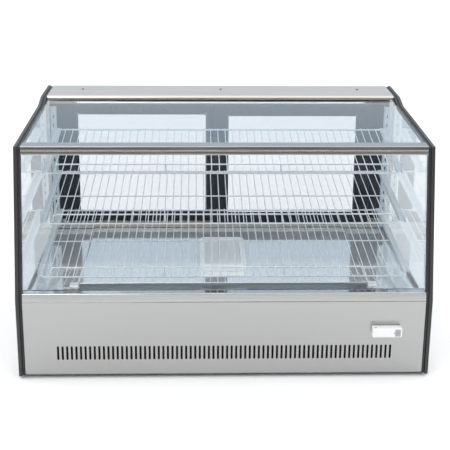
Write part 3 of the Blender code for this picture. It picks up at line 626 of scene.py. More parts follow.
def folded_sheet(points, low_x, high_x, thickness, radii, outward, segments=5):
    """A sheet folded along a (y, z) path: each inner point has its bend radius.

    Its largest face looks along outward, and the metal lies behind it.
    """
    shape = bmesh.new()
    row = [shape.verts.new((low_x, y, z)) for y, z in points]
    run = [shape.edges.new(pair) for pair in zip(row, row[1:])]
    out = bmesh.ops.extrude_edge_only(shape, edges=run)["geom"]
    bmesh.ops.translate(shape, vec=(high_x - low_x, 0.0, 0.0), verts=new_verts(out))
    folds = [edge for edge in shape.edges if len(edge.link_faces) == 2]
    for (y, z), radius in zip(points[1:-1], radii):
        fold = min(folds, key=lambda edge: math.hypot(edge.verts[0].co.y - y, edge.verts[0].co.z - z))
        folds.remove(fold)
        soft_edges(shape, [fold], radius, segments)
        folds = [edge for edge in folds if edge.is_valid]
    face_outwards(shape, outward)
    bmesh.ops.solidify(shape, geom=shape.faces[:], thickness=thickness)
    return shape


def drawn_bar(points, low_x, high_x, soft=(), segments=3):
    """A bar with a (y, z) section; soft pairs a point of the section with its edge radius."""
    shape = bmesh.new()
    base = shape.faces.new([shape.verts.new((low_x, y, z)) for y, z in points])
    out = bmesh.ops.extrude_face_region(shape, geom=[base])["geom"]
    bmesh.ops.translate(shape, vec=(high_x - low_x, 0.0, 0.0), verts=new_verts(out))
    for (y, z), radius in soft:
        long_edges = edges_along(shape, 0, abs(high_x - low_x) / 2)
        near = min(long_edges, key=lambda edge: math.hypot(edge.verts[0].co.y - y, edge.verts[0].co.z - z))
        soft_edges(shape, [near], radius, segments)
    return shape


def turned(profile, centre, axis="Z", steps=24):
    """A shape turned round an axis from a profile of (radius, height) points."""
    shape = bmesh.new()
    row = [shape.verts.new((radius, 0.0, height)) for radius, height in profile]
    run = [shape.edges.new(pair) for pair in zip(row, row[1:])]
    bmesh.ops.spin(
        shape, geom=row + run, cent=(0, 0, 0), axis=(0, 0, 1), angle=2 * math.pi, steps=steps, use_merge=True
    )
    bmesh.ops.remove_doubles(shape, verts=shape.verts, dist=0.000005)
    if axis == "Y":
        spun(shape, -QUARTER_TURN, "X")
    bmesh.ops.translate(shape, vec=centre, verts=shape.verts)
    return shape


def slotted_cell(width, height, slot_width, slot_low, slot_high):
    """One plate cell in the XZ plane with an obround slot: its ring, stretched out to the cell's edges."""
    shape = bmesh.new()
    sides = 12
    radius = slot_width / 2
    ring = bmesh.ops.create_circle(shape, cap_ends=False, segments=sides, radius=radius)["verts"]
    bmesh.ops.rotate(shape, cent=(0, 0, 0), matrix=Matrix.Rotation(math.pi / sides, 3, "Z"), verts=ring)
    bmesh.ops.rotate(shape, cent=(0, 0, 0), matrix=Matrix.Rotation(QUARTER_TURN, 3, "X"), verts=ring)
    upper = [vert for vert in ring if vert.co.z > 0]
    lower = [vert for vert in ring if vert.co.z < 0]
    bmesh.ops.translate(shape, vec=(0, 0, slot_high - radius), verts=upper)
    bmesh.ops.translate(shape, vec=(0, 0, slot_low + radius), verts=lower)
    out = bmesh.ops.extrude_edge_only(shape, edges=shape.edges[:])["geom"]
    rim = new_verts(out)
    corner = radius * 0.6
    for vert in rim:
        middle = slot_high - radius if vert.co.z > (slot_low + slot_high) / 2 else slot_low + radius
        rise = vert.co.z - middle
        if abs(vert.co.x) > corner:
            vert.co.x = math.copysign(width / 2, vert.co.x)
        if abs(rise) > corner:
            vert.co.z = height if rise > 0 else 0.0
    return shape


def repeat(shape, count, step):
    """Repeats everything in a shape along a step and joins the copies where they meet."""
    seed = shape.verts[:] + shape.edges[:] + shape.faces[:]
    for number in range(1, count):
        copy = bmesh.ops.duplicate(shape, geom=seed)["geom"]
        bmesh.ops.translate(shape, vec=Vector(step) * number, verts=new_verts(copy))
    bmesh.ops.remove_doubles(shape, verts=shape.verts, dist=MERGE)


class Rod:
    """Sweeps a round rod through straight runs and bends."""

    def __init__(self, shape, start, heading, radius, sides=8):
        self.shape = shape
        self.place = Vector(start)
        self.heading = Vector(heading).normalized()
        verts = bmesh.ops.create_circle(shape, cap_ends=False, segments=sides, radius=radius)["verts"]
        turn = Z_AXIS.rotation_difference(self.heading).to_matrix()
        bmesh.ops.rotate(shape, cent=(0, 0, 0), matrix=turn, verts=verts)
        bmesh.ops.translate(shape, vec=self.place, verts=verts)
        self.ring = list({edge for vert in verts for edge in vert.link_edges})

    def run(self, length):
        out = bmesh.ops.extrude_edge_only(self.shape, edges=self.ring)["geom"]
        verts = new_verts(out)
        bmesh.ops.translate(self.shape, vec=self.heading * length, verts=verts)
        found = set(verts)
        edges = [item for item in out if isinstance(item, bmesh.types.BMEdge)]
        self.ring = [edge for edge in edges if all(vert in found for vert in edge.verts)]
        self.place = self.place + self.heading * length
        return self

    def turn(self, angle, radius, axis, steps=6):
        axis = Vector(axis).normalized()
        centre = self.place + axis.cross(self.heading) * radius * math.copysign(1.0, angle)
        verts = list({vert for edge in self.ring for vert in edge.verts})
        out = bmesh.ops.spin(
            self.shape, geom=verts + self.ring, cent=centre, axis=axis, angle=angle, steps=steps, use_merge=False
        )
        self.ring = [item for item in out["geom_last"] if isinstance(item, bmesh.types.BMEdge)]
        spin = Matrix.Rotation(angle, 3, axis)
        self.place = centre + spin @ (self.place - centre)
        self.heading = spin @ self.heading
        return self


def close_rods(shape):
    """Merges rod rings that meet and caps those that stay open."""
    bmesh.ops.remove_doubles(shape, verts=shape.verts, dist=MERGE)
    open_edges = [edge for edge in shape.edges if len(edge.link_faces) == 1]
    bmesh.ops.holes_fill(shape, edges=open_edges, sides=0)


def tilt_into_place(shape, angle, place):
    spun(shape, angle, "X")
    bmesh.ops.translate(shape, vec=place, verts=shape.verts)


def shelf_frame(number):
    """Length, tilt and rear corner of a wire shelf, from its node's box."""
    low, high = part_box("wire_shelf_%d" % number)
    wire = bpy.context.scene.case_sizes.wire
    rise = high.z - low.z - wire
    run = high.y - low.y
    tilt = math.atan2(rise, run)
    return math.hypot(rise, run), tilt, (0.0, high.y, high.z - wire * math.cos(tilt))


# ---------------------------------------------------------------- operators
class DISPLAY_CASE_OT_finishes(bpy.types.Operator):
    """Makes the node groups and the finishes"""

    bl_idname = "display_case.finishes"
    bl_label = "Finishes"
    bl_options = {"REGISTER", "UNDO"}

    def execute(self, context):
        looks = context.scene.case_finishes
        make_texture_group()
        make_dust_group()
        make_metals(looks)
        make_plastics(looks)
        make_glass("clear_glass", looks.glass, 0.004, 1.34)
        make_glass("top_glass", looks.glass, 0.004, 1.46)
        make_glass("door_glass", looks.door_glass, 0.006, 1.40)
        make_glow("diode", looks.lamp, looks.lamp_power)
        return {"FINISHED"}


class DISPLAY_CASE_OT_sides(bpy.types.Operator):
    """Builds both side frames: trim, seal, glass and lower panel"""

    bl_idname = "display_case.sides"
    bl_label = "Side Frames"
    bl_options = {"REGISTER", "UNDO"}

    def execute(self, context):
        sizes = context.scene.case_sizes
        for side in ("left", "right"):
            rounded_node(side + "_edge_trim", "edge_trim", "case", sizes.edge_round, 3)
            rounded_node(side + "_edge_seal", "seal_rubber", "case", 0.0018, 3)
            rounded_node(side + "_side_glass", "clear_glass", "case", 0.0004, 1)
            rounded_node(side + "_side_panel", "galvanised", "case", 0.0006, 2)
        return {"FINISHED"}


class DISPLAY_CASE_OT_front_panel(bpy.types.Operator):
    """Builds the slotted front panel with its folded edges"""

    bl_idname = "display_case.front_panel"
    bl_label = "Front Panel"
    bl_options = {"REGISTER", "UNDO"}

    def execute(self, context):
        sizes = context.scene.case_sizes
        low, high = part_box("front_panel")
        sheet = sizes.panel_sheet
        lean = math.atan2(high.y - low.y - sheet, high.z - low.z)
        height = (high.z - low.z) / math.cos(lean)
        margin = 0.004
        band_low = sizes.slot_low - low.z - margin
        band = sizes.slot_high - sizes.slot_low + 2 * margin
        pitch = sizes.slot_pitch
        shape = slotted_cell(pitch, band, sizes.slot_width, margin, band - margin)
        half = sizes.slot_count * pitch / 2
        bmesh.ops.translate(shape, vec=(pitch / 2 - half, 0.0, band_low), verts=shape.verts)
        repeat(shape, sizes.slot_count, (pitch, 0.0, 0.0))
        extend_border(shape, 2, band_low + band, (0.0, 0.0, height - band_low - band))
        extend_border(shape, 2, band_low, (0.0, 0.0, -band_low))
        extend_border(shape, 0, half, (high.x - half, 0.0, 0.0))
        extend_border(shape, 0, -half, (low.x + half, 0.0, 0.0))
        for level in (height, 0.0):
            fold = extend_border(shape, 2, level, (0.0, 0.010, 0.0))
            soft_edges(shape, fold, sizes.bend, 4)
        face_outwards(shape, -Y_AXIS)
        bmesh.ops.solidify(shape, geom=shape.faces[:], thickness=sheet)
        tilt_into_place(shape, lean, (0.0, high.y - sheet, low.z))
        new_piece(
            "front_panel_slotted", shape, "brushed_steel", "case", ("front_panel",), 40.0
        )
        # The dark sheet behind the slots is painted shade.
        self.build_slot_shade(sizes, half, high.y + 0.006)
        return {"FINISHED"}

    def build_slot_shade(self, sizes, half, front):
        """A dark pleated air filter behind the slots; its near-black colour is painted shade that makes the slots read
        dark.
        """
        pleats = 12
        low = sizes.slot_low - 0.012
        step = (sizes.slot_high - sizes.slot_low + 0.024) / pleats
        folds = [(front + (count % 2) * 0.004, low + count * step) for count in range(pleats + 1)]
        shape = drawn_bar(folds + [(y + 0.001, z) for y, z in reversed(folds)], -half - 0.004, half + 0.004)
        new_piece("air_filter_shade", shape, "filter_black", "case", (), 30.0)


class DISPLAY_CASE_OT_front_sill(bpy.types.Operator):
    """Builds the folded sill under the front glass"""

    bl_idname = "display_case.front_sill"
    bl_label = "Front Sill"
    bl_options = {"REGISTER", "UNDO"}

    def execute(self, context):
        sizes = context.scene.case_sizes
        low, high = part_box("front_sill")
        fold = low.z + SILL_BAND
        points = [
            (low.y, fold),
            (low.y + (high.z - fold) * FRONT_LEAN, high.z),
            (high.y, high.z),
            (high.y, low.z),
        ]
        shape = folded_sheet(points, low.x, high.x, sizes.sheet, (sizes.bend, sizes.bend), Z_AXIS)
        for face in shape.faces:
            centre = face.calc_center_median()
            face.material_index = 1 if centre.z > high.z - 0.0002 or centre.y > high.y - 0.004 else 0
        # The band's finish is a brightened copy of the front panel's steel, a painted reflection of the floor.
        new_piece(
            "front_sill_folded", shape, ("sill_lit_steel", "polished_steel"), "case", ("front_sill",)
        )
        return {"FINISHED"}


class DISPLAY_CASE_OT_glass(bpy.types.Operator):
    """Builds the front and top panes with ground edges"""

    bl_idname = "display_case.glass"
    bl_label = "Front and Top Glass"
    bl_options = {"REGISTER", "UNDO"}

    def execute(self, context):
        rounded_node("front_glass", "clear_glass", "case", 0.0006, 1)
        rounded_node("top_glass", "top_glass", "case", 0.0006, 1)
        return {"FINISHED"}


class DISPLAY_CASE_OT_top_rail(bpy.types.Operator):
    """Builds the drawn front top rail with its groove"""

    bl_idname = "display_case.top_rail"
    bl_label = "Top Rail"
    bl_options = {"REGISTER", "UNDO"}

    def execute(self, context):
        low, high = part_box("front_top_rail")
        groove = 0.0022
        front_top = low.z + RAIL_FACE
        middle = (low.z + front_top) / 2
        face = [
            (low.z, 0.0), (middle - groove, 0.0), (middle - groove / 2, groove), (middle + groove / 2, groove)
        ]
        face += [(middle + groove, 0.0), (front_top, 0.0)]
        points = [(low.y + (z - low.z) * FRONT_LEAN + inset, z) for z, inset in face]
        points += [(high.y, high.z), (high.y, high.z - 0.0075), (high.y - 0.010, high.z - 0.0075)]
        points.append((high.y - 0.012, low.z))
        soft = [(points[0], 0.0028), (points[5], 0.0022), (points[6], 0.0006), (points[9], 0.0012)]
        shape = drawn_bar(points, low.x, high.x, soft)
        shape.normal_update()
        # Faces that look up, and the groove, take the near-white rail finish: a painted highlight.
        for item in shape.faces:
            centre = item.calc_center_median()
            item.material_index = 1 if item.normal.z > 0.6 or abs(centre.z - middle) < groove * 0.4 else 0
        new_piece(
            "front_top_rail_drawn", shape, ("aluminium", "rail_bright"), "case", ("front_top_rail",), 40.0
        )
        return {"FINISHED"}


class DISPLAY_CASE_OT_top_panel(bpy.types.Operator):
    """Builds the rear top panel with its rolled front, and its three screws"""

    bl_idname = "display_case.top_panel"
    bl_label = "Top Panel"
    bl_options = {"REGISTER", "UNDO"}

    def execute(self, context):
        sizes = context.scene.case_sizes
        low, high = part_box("top_panel")
        front_z = high.z - ROOF_FALL
        lip_z = front_z - ROOF_LIP
        points = [
            (low.y + 0.012, lip_z),
            (low.y, lip_z),
            (low.y, front_z),
            (high.y, high.z),
            (high.y, low.z),
        ]
        shape = folded_sheet(
            points, low.x, high.x, sizes.sheet, (0.0018, sizes.top_roll, sizes.bend), Z_AXIS, 6
        )
        new_piece("top_panel_folded", shape, "top_steel", "case", ("top_panel",))
        for number in (1, 2, 3):
            self.build_screw(number)
        return {"FINISHED"}

    def build_screw(self, number):
        node = "top_screw_%d" % number
        low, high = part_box(node)
        radius = (high.x - low.x) / 2
        tall = high.z - low.z
        profile = [(0.0, 0.0), (radius, 0.0), (radius, tall * 0.35), (radius * 0.85, tall * 0.72)]
        profile += [(radius * 0.6, tall * 0.92), (radius * 0.45, tall), (0.0, tall)]
        head = turned(profile, foot_of(low, high), steps=20)
        centre = foot_of(low, high)
        centre.z = high.z
        # The cross recess is not cut; a thin black cross laid on the head is painted shade standing in for it.
        for arm in ((radius * 0.38, radius * 0.10), (radius * 0.10, radius * 0.38)):
            reach = Vector((arm[0], arm[1], 0.00006))
            block(head, centre - reach, centre + reach, material=1)
        new_piece(node + "_head", head, ("screw_steel", "black_plastic"), "case", (node,))


class DISPLAY_CASE_OT_lamp(bpy.types.Operator):
    """Builds the lamp housing and the strip of diodes under the top panel"""

    bl_idname = "display_case.lamp"
    bl_label = "Lamp"
    bl_options = {"REGISTER", "UNDO"}

    def execute(self, context):
        sizes = context.scene.case_sizes
        rounded_node("lamp_housing", "lamp_grey", "case", 0.0015, 3)
        low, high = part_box("led_strip")
        shape = bmesh.new()
        block(shape, (low.x, low.y + 0.0009, low.z), high, 0.0004)
        count = int((high.x - low.x - 0.006) / sizes.diode_pitch)
        seed = bmesh.new()
        start = -(count - 1) * sizes.diode_pitch / 2
        middle = (low.z + high.z) / 2
        block(
            seed,
            (start - 0.0018, low.y + 0.0001, middle - 0.0015),
            (start + 0.0018, low.y + 0.0011, middle + 0.0015),
            0.0003,
            1,
        )
        repeat(seed, count, (sizes.diode_pitch, 0.0, 0.0))
        add_part(shape, seed, 1)
        new_piece("led_strip_diodes", shape, ("lamp_board", "diode"), "case", ("led_strip",))
        return {"FINISHED"}


class DISPLAY_CASE_OT_doors(bpy.types.Operator):
    """Builds the two sliding doors: sash, glazing bead, finger pull and pane"""

    bl_idname = "display_case.doors"
    bl_label = "Sliding Doors"
    bl_options = {"REGISTER", "UNDO"}

    def execute(self, context):
        for side, outer_sign in (("left", -1), ("right", 1)):
            body = side + "_door"
            sash = side + "_door_sash"
            shape = merged_copy(sash)
            soft_edges(shape, sharp_edges(shape), 0.0016, 3)
            self.add_bead(shape, side)
            self.add_pull(shape, sash, outer_sign)
            new_piece(sash + "_detailed", shape, ("door_black", "seal_rubber"), body, (sash,))
            rounded_node(side + "_door_glass", "door_glass", body, 0.0004, 1)
        return {"FINISHED"}

    def add_bead(self, shape, side):
        """A rubber bead round the pane, on both faces."""
        low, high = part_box(side + "_door_glass")
        for y in (low.y - 0.0012, high.y + 0.0012):
            bead = bmesh.new()
            radius = 0.0018
            width = high.x - low.x - 2 * radius
            height = high.z - low.z - 2 * radius
            rod = Rod(bead, (low.x + radius + 0.006, y, low.z + 0.0008), X_AXIS, radius, 6)
            rod.run(width - 0.012)
            for length in (height, width, height, width):
                rod.turn(-QUARTER_TURN, 0.006, Y_AXIS, 3)
                if rod.heading.dot(X_AXIS) < 0.9:
                    rod.run(length - 0.012)
            close_rods(bead)
            add_part(shape, bead, 1)

    def add_pull(self, shape, sash, outer_sign):
        """A dished finger pull on the outer stile, facing the back."""
        low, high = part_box(sash)
        outer = low.x if outer_sign < 0 else high.x
        x = outer - outer_sign * 0.036
        middle = (low.z + high.z) / 2
        pull = bmesh.new()
        bmesh.ops.create_circle(pull, cap_ends=True, segments=20, radius=0.009)
        spun(pull, -QUARTER_TURN, "X")
        ends = [vert for vert in pull.verts if vert.co.z > 0.0001]
        bmesh.ops.translate(pull, vec=(0, 0, 0.075), verts=ends)
        face = pull.faces[:]
        out = bmesh.ops.extrude_face_region(pull, geom=face)["geom"]
        bmesh.ops.translate(pull, vec=(0, 0.0014, 0), verts=new_verts(out))
        top = [item for item in out if isinstance(item, bmesh.types.BMFace)]
        bmesh.ops.inset_region(pull, faces=top, thickness=0.0016)
        bmesh.ops.translate(pull, vec=(0, -0.0009, 0), verts=list({v for f in top for v in f.verts}))
        bmesh.ops.translate(pull, vec=(x, high.y - 0.0001, middle - 0.0375), verts=pull.verts)
        add_part(shape, pull, 0)


class DISPLAY_CASE_OT_tracks(bpy.types.Operator):
    """Builds the door tracks and the frame behind them"""

    bl_idname = "display_case.tracks"
    bl_label = "Door Tracks"
    bl_options = {"REGISTER", "UNDO"}

    def execute(self, context):
        # The lower track takes the near-white rail finish, a painted highlight that makes it read as a bright line.
        rounded_node("lower_door_track", "rail_bright", "case", 0.0004, 2)
        rounded_node("upper_door_track", "door_black", "case", 0.0004, 2)
        rounded_node("door_frame", "door_black", "case", 0.0015, 3)
        return {"FINISHED"}


class DISPLAY_CASE_OT_uprights(bpy.types.Operator):
    """Builds the two slotted channel posts"""

    bl_idname = "display_case.uprights"
    bl_label = "Uprights"
    bl_options = {"REGISTER", "UNDO"}

    def execute(self, context):
        sizes = context.scene.case_sizes
        for side in ("left", "right"):
            node = side + "_upright"
            low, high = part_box(node)
            slots = 13
            slot_height = 0.012
            pitch = (high.z - low.z - slot_height) / (slots + 1)
            width = high.x - low.x
            offset = (pitch - slot_height) / 2
            shape = slotted_cell(width, pitch, 0.0045, offset, offset + slot_height)
            start = low.z + pitch - offset
            centre = (low.x + high.x) / 2
            bmesh.ops.translate(shape, vec=(centre, low.y, start), verts=shape.verts)
            repeat(shape, slots, (0.0, 0.0, pitch))
            extend_border(shape, 2, start, (0.0, 0.0, low.z - start))
            top = start + slots * pitch
            extend_border(shape, 2, top, (0.0, 0.0, high.z - top))
            for x in (low.x, high.x):
                fold = extend_border(shape, 0, x, (0.0, high.y - low.y, 0.0))
                soft_edges(shape, fold, 0.002, 3)
            face_outwards(shape, -Y_AXIS)
            bmesh.ops.solidify(shape, geom=shape.faces[:], thickness=sizes.sheet)
            new_piece(node + "_channel", shape, "bracket_grey", "case", (node,), 40.0)
        return {"FINISHED"}


class DISPLAY_CASE_OT_brackets(bpy.types.Operator):
    """Builds the six shelf brackets: web, flange, front loop and hook"""

    bl_idname = "display_case.brackets"
    bl_label = "Brackets"
    bl_options = {"REGISTER", "UNDO"}

    def execute(self, context):
        for number in (1, 2, 3):
            length, tilt, corner = shelf_frame(number)
            for side, sign in (("left", -1), ("right", 1)):
                node = "%s_bracket_%d" % (side, number)
                low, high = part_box(node)
                web = high.x if sign > 0 else low.x
                shape = bmesh.new()
                self.add_web(shape, web, sign, length)
                self.add_flange(shape, web, sign, length)
                self.add_front_loop(shape, web, sign, length)
                tilt_into_place(shape, tilt, (0.0, corner[1], corner[2] - 0.0005))
                self.add_hook(shape, web, sign, high)
                new_piece(node + "_arm", shape, "bracket_grey", "case", (node,), 40.0)
        return {"FINISHED"}

    def add_web(self, shape, web, sign, length):
        front = -length * BRACKET_REACH
        outline = [(0.020, -0.026), (0.020, 0.0), (front, 0.0), (front, -0.009)]
        part = drawn_bar(outline, web - sign * 0.002, web)
        soft_edges(part, edges_along(part, 0, 0.001), 0.004, 4)
        add_part(shape, part)

    def add_flange(self, shape, web, sign, length):
        inner = web - sign * 0.022
        low = (min(inner, web - sign * 0.0005), -length * BRACKET_REACH, -0.002)
        high = (max(inner, web - sign * 0.0005), 0.018, -0.0003)
        part = bmesh.new()
        block(part, low, high)
        soft_edges(part, edges_along(part, 2, 0.001), 0.005, 4)
        add_part(shape, part)

    def add_front_loop(self, shape, web, sign, length):
        """A bent wire loop that stops the shelf's front rod."""
        front = -length * BRACKET_REACH + 0.004
        wide = 0.030
        tall = 0.034
        corner = 0.006
        part = bmesh.new()
        rod = Rod(part, (web - sign * 0.003, front, -0.004), Z_AXIS, 0.0014)
        rod.run(tall - corner).turn(-sign * QUARTER_TURN, corner, Y_AXIS)
        rod.run(wide - 2 * corner).turn(-sign * QUARTER_TURN, corner, Y_AXIS).run(tall - corner)
        close_rods(part)
        add_part(shape, part)

    def add_hook(self, shape, web, sign, high):
        """The tie and the down-turned hook that sits in an upright's slot."""
        rear = high.y
        top = high.z - 0.004
        slot = sign * UPRIGHT_SLOT_X
        lows = (min(web, slot + sign * HOOK_HALF), rear - 0.012, top - 0.016)
        highs = (max(web, slot + sign * HOOK_HALF), rear - 0.010, top)
        block(shape, lows, highs, 0.0004, 1)
        outline = [
            (rear - 0.011, top - 0.010), (rear - 0.011, top), (rear + 0.010, top), (rear + 0.010, top - 0.014)
        ]
        outline += [(rear + 0.0072, top - 0.014), (rear + 0.0072, top - 0.006), (rear + 0.0035, top - 0.006)]
        outline.append((rear + 0.0035, top - 0.010))
        part = drawn_bar(outline, slot - HOOK_HALF, slot + HOOK_HALF)
        add_part(shape, part)


class DISPLAY_CASE_OT_shelves(bpy.types.Operator):
    """Builds the three wire shelves, each with its raised front guard"""

    bl_idname = "display_case.shelves"
    bl_label = "Wire Shelves"
    bl_options = {"REGISTER", "UNDO"}

    def execute(self, context):
        sizes = context.scene.case_sizes
        for number in (1, 2, 3):
            length, tilt, corner = shelf_frame(number)
            shelf = bmesh.new()
            self.add_frame(shelf, sizes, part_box("wire_shelf_%d" % number)[1].x, length)
            self.add_wires(shelf, sizes, length)
            guard = bmesh.new()
            self.add_guard(guard, sizes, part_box("shelf_guard_%d" % number)[1].x, length)
            for shape, node, ending in (
                (shelf, "wire_shelf_%d", "_welded"), (guard, "shelf_guard_%d", "_bent")
            ):
                close_rods(shape)
                tilt_into_place(shape, tilt, corner)
                name = node % number
                new_piece(name + ending, shape, "shelf_white", "case", (name,), 50.0)
        return {"FINISHED"}

    def add_frame(self, shape, sizes, half, length):
        radius = sizes.rod / 2
        bend = sizes.rod_bend
        level = ROD_LEVEL
        width = 2 * (half - radius)
        depth = length - 2 * radius
        rod = Rod(shape, (0.0, -radius, level), X_AXIS, radius, 10)
        rod.run(width / 2 - bend)
        for side in (depth, width, depth):
            rod.turn(-QUARTER_TURN, bend, Z_AXIS).run(side - 2 * bend)
        rod.turn(-QUARTER_TURN, bend, Z_AXIS).run(width / 2 - bend)
        cross = Rod(shape, (-half + radius, -length / 2, level), X_AXIS, radius * 0.8, 8)
        cross.run(width)

    def add_wires(self, shape, sizes, length):
        radius = sizes.wire / 2
        level = ROD_LEVEL + sizes.rod / 2 + radius * 0.6
        part = bmesh.new()
        start = -(sizes.wire_count - 1) * sizes.wire_pitch / 2
        Rod(part, (start, -0.0006, level), -Y_AXIS, radius, 8).run(length - 0.0012)
        close_rods(part)
        repeat(part, sizes.wire_count, (sizes.wire_pitch, 0.0, 0.0))
        add_part(shape, part)

    def add_guard(self, shape, sizes, end, length):
        """The raised rail bent down at both ends, on two posts."""
        radius = sizes.rod * 0.45
        bend = 0.012
        y = -length + 0.0145
        half = end - radius
        base = 0.0030
        top = 0.029 - radius
        rod = Rod(shape, (-half, y, base), Z_AXIS, radius, 10)
        rod.run(top - base - bend).turn(QUARTER_TURN, bend, Y_AXIS).run(2 * (half - bend))
        rod.turn(QUARTER_TURN, bend, Y_AXIS).run(top - base - bend)
        for x in (-0.176, 0.176):
            Rod(shape, (x, y, base), Z_AXIS, radius * 0.85, 8).run(top - base)


class DISPLAY_CASE_OT_deck(bpy.types.Operator):
    """Builds the deck, the insulated tub and the clips at the ends of the air slot"""

    bl_idname = "display_case.deck"
    bl_label = "Deck and Tub"
    bl_options = {"REGISTER", "UNDO"}

    def execute(self, context):
        sizes = context.scene.case_sizes
        low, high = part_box("deck_panel")
        step = 0.004
        edge = RAISED_HALF + step
        base = high.z - step
        sections = ((low.x, base), (-edge, base), (-RAISED_HALF, high.z), (RAISED_HALF, high.z), (edge, base))
        shape = bmesh.new()
        row = [shape.verts.new((x, low.y, z)) for x, z in (*sections, (high.x, base))]
        run = [shape.edges.new(pair) for pair in zip(row, row[1:])]
        out = bmesh.ops.extrude_edge_only(shape, edges=run)["geom"]
        bmesh.ops.translate(shape, vec=(0.0, high.y - low.y, 0.0), verts=new_verts(out))
        folds = [edge for edge in shape.edges if len(edge.link_faces) == 2]
        soft_edges(shape, folds, 0.0015, 3)
        self.cut_seam(shape, high.y - sizes.deck_seam, 0.0012)
        lip = extend_border(shape, 1, low.y, (0.0, 0.0, -0.012))
        soft_edges(shape, lip, 0.002, 4)
        face_outwards(shape, Z_AXIS)
        bmesh.ops.solidify(shape, geom=shape.faces[:], thickness=sizes.panel_sheet)
        for x_low, x_high in ((low.x, -edge), (edge, high.x)):
            block(
                shape,
                (x_low, low.y - AIR_SLOT - 0.0002, base - 0.0018),
                (x_high, low.y + 0.001, base - 0.0001),
                0.0004,
                1,
            )
        new_piece("deck_panel_folded", shape, "deck_steel", "case", ("deck_panel",))
        rounded_node("insulated_tub", "liner_white", "case", 0.002, 3)
        self.add_apron(sizes, low)
        for side, sign in (("left", -1), ("right", 1)):
            self.build_clip(side, sign, low)
        return {"FINISHED"}

    def cut_seam(self, shape, place, gap):
        """Parts the sheet across its width, and turns both edges down."""
        for level in (place - gap / 2, place + gap / 2):
            every = shape.verts[:] + shape.edges[:] + shape.faces[:]
            bmesh.ops.bisect_plane(shape, geom=every, dist=MERGE, plane_co=(0, level, 0), plane_no=Y_AXIS)
        strip = [item for item in shape.faces if abs(item.calc_center_median().y - place) < gap / 2]
        bmesh.ops.delete(shape, geom=strip, context="FACES")
        for level in (place - gap / 2, place + gap / 2):
            extend_border(shape, 1, level, (0.0, 0.0, -0.003))

    def add_apron(self, sizes, deck_low):
        """The strip between the sill and the air slot, grey where the vent is open."""
        low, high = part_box("insulated_tub")
        slot_front = deck_low.y - AIR_SLOT
        level = high.z + 0.0018
        points = [(low.y + 0.0006, level), (slot_front + 0.0004, level), (slot_front + 0.0004, level - 0.016)]
        shape = bmesh.new()
        for x_low, x_high, material in (
            (low.x + 0.001, -VENT_HALF, 0),
            (-VENT_HALF, VENT_HALF, 1),
            (VENT_HALF, high.x - 0.001, 0),
        ):
            part = folded_sheet(points, x_low, x_high, sizes.sheet, (0.002,), Z_AXIS)
            add_part(shape, part, material)
        new_piece("deck_apron", shape, ("deck_steel", "vent_grey"), "case", ())

    def build_clip(self, side, sign, deck_low):
        """A white clip over the end of the air slot, with a leg turned down into it."""
        centre = sign * CLIP_X
        level = deck_low.z + 0.0072
        y = deck_low.y
        points = [
            (y - 0.022, level - 0.004), (y - 0.019, level), (y + 0.006, level), (y + 0.009, level - 0.003)
        ]
        shape = folded_sheet(points, centre - CLIP_HALF, centre + CLIP_HALF, 0.0016, (0.002, 0.002), Z_AXIS)
        leg = centre - sign * 0.0105
        block(shape, (leg - 0.002, y - 0.020, level - 0.020), (leg + 0.002, y - 0.004, level - 0.001), 0.0006)
        new_piece(side + "_slot_clip", shape, "white_plastic", "case", ())


class DISPLAY_CASE_OT_water_tray(bpy.types.Operator):
    """Builds the humidity tray: a wide rim round a recessed well, with finger grips"""

    bl_idname = "display_case.water_tray"
    bl_label = "Water Tray"
    bl_options = {"REGISTER", "UNDO"}

    def execute(self, context):
        low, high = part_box("humidity_tray")
        size = high - low
        centre = (low + high) / 2
        tray = bmesh.new()
        bmesh.ops.create_cube(tray, size=1.0)
        bmesh.ops.scale(tray, vec=size, verts=tray.verts)
        bmesh.ops.translate(tray, vec=centre, verts=tray.verts)
        soft_edges(tray, edges_along(tray, 2, size.z / 2), 0.020, 8)
        top = max(tray.faces, key=lambda face: face.calc_center_median().z)
        bmesh.ops.inset_region(tray, faces=[top], thickness=0.017)
        out = bmesh.ops.extrude_face_region(tray, geom=[top])["geom"]
        floor = [item for item in out if isinstance(item, bmesh.types.BMFace)]
        bmesh.ops.translate(tray, vec=(0.0, 0.0, -0.008), verts=new_verts(out))
        if top.is_valid:
            bmesh.ops.delete(tray, geom=[top], context="FACES_ONLY")
        for face in floor:
            face.material_index = 1
        soft_edges(tray, sharp_edges(tray, 50.0), 0.0012, 3)
        for face in tray.faces:
            if face.calc_center_median().z < high.z - 0.0075 and face.normal.z > 0.9:
                face.material_index = 1
        for sign in (-1, 1):
            for count in range(4):
                x = centre.x + sign * (size.x / 2 - 0.0085)
                y = centre.y + (count - 1.5) * 0.007
                block(
                    tray,
                    (x - 0.004, y - 0.0012, high.z - 0.0006),
                    (x + 0.004, y + 0.0012, high.z - 0.0001),
                    0.0002,
                )
        # Both finishes use the brightened tray colour: painted light against the shade inside the case.
        new_piece(
            "humidity_tray_moulded", tray, ("tray_lit_white", "frosted_plastic"), "water_tray", ("humidity_tray",)
        )
        return {"FINISHED"}


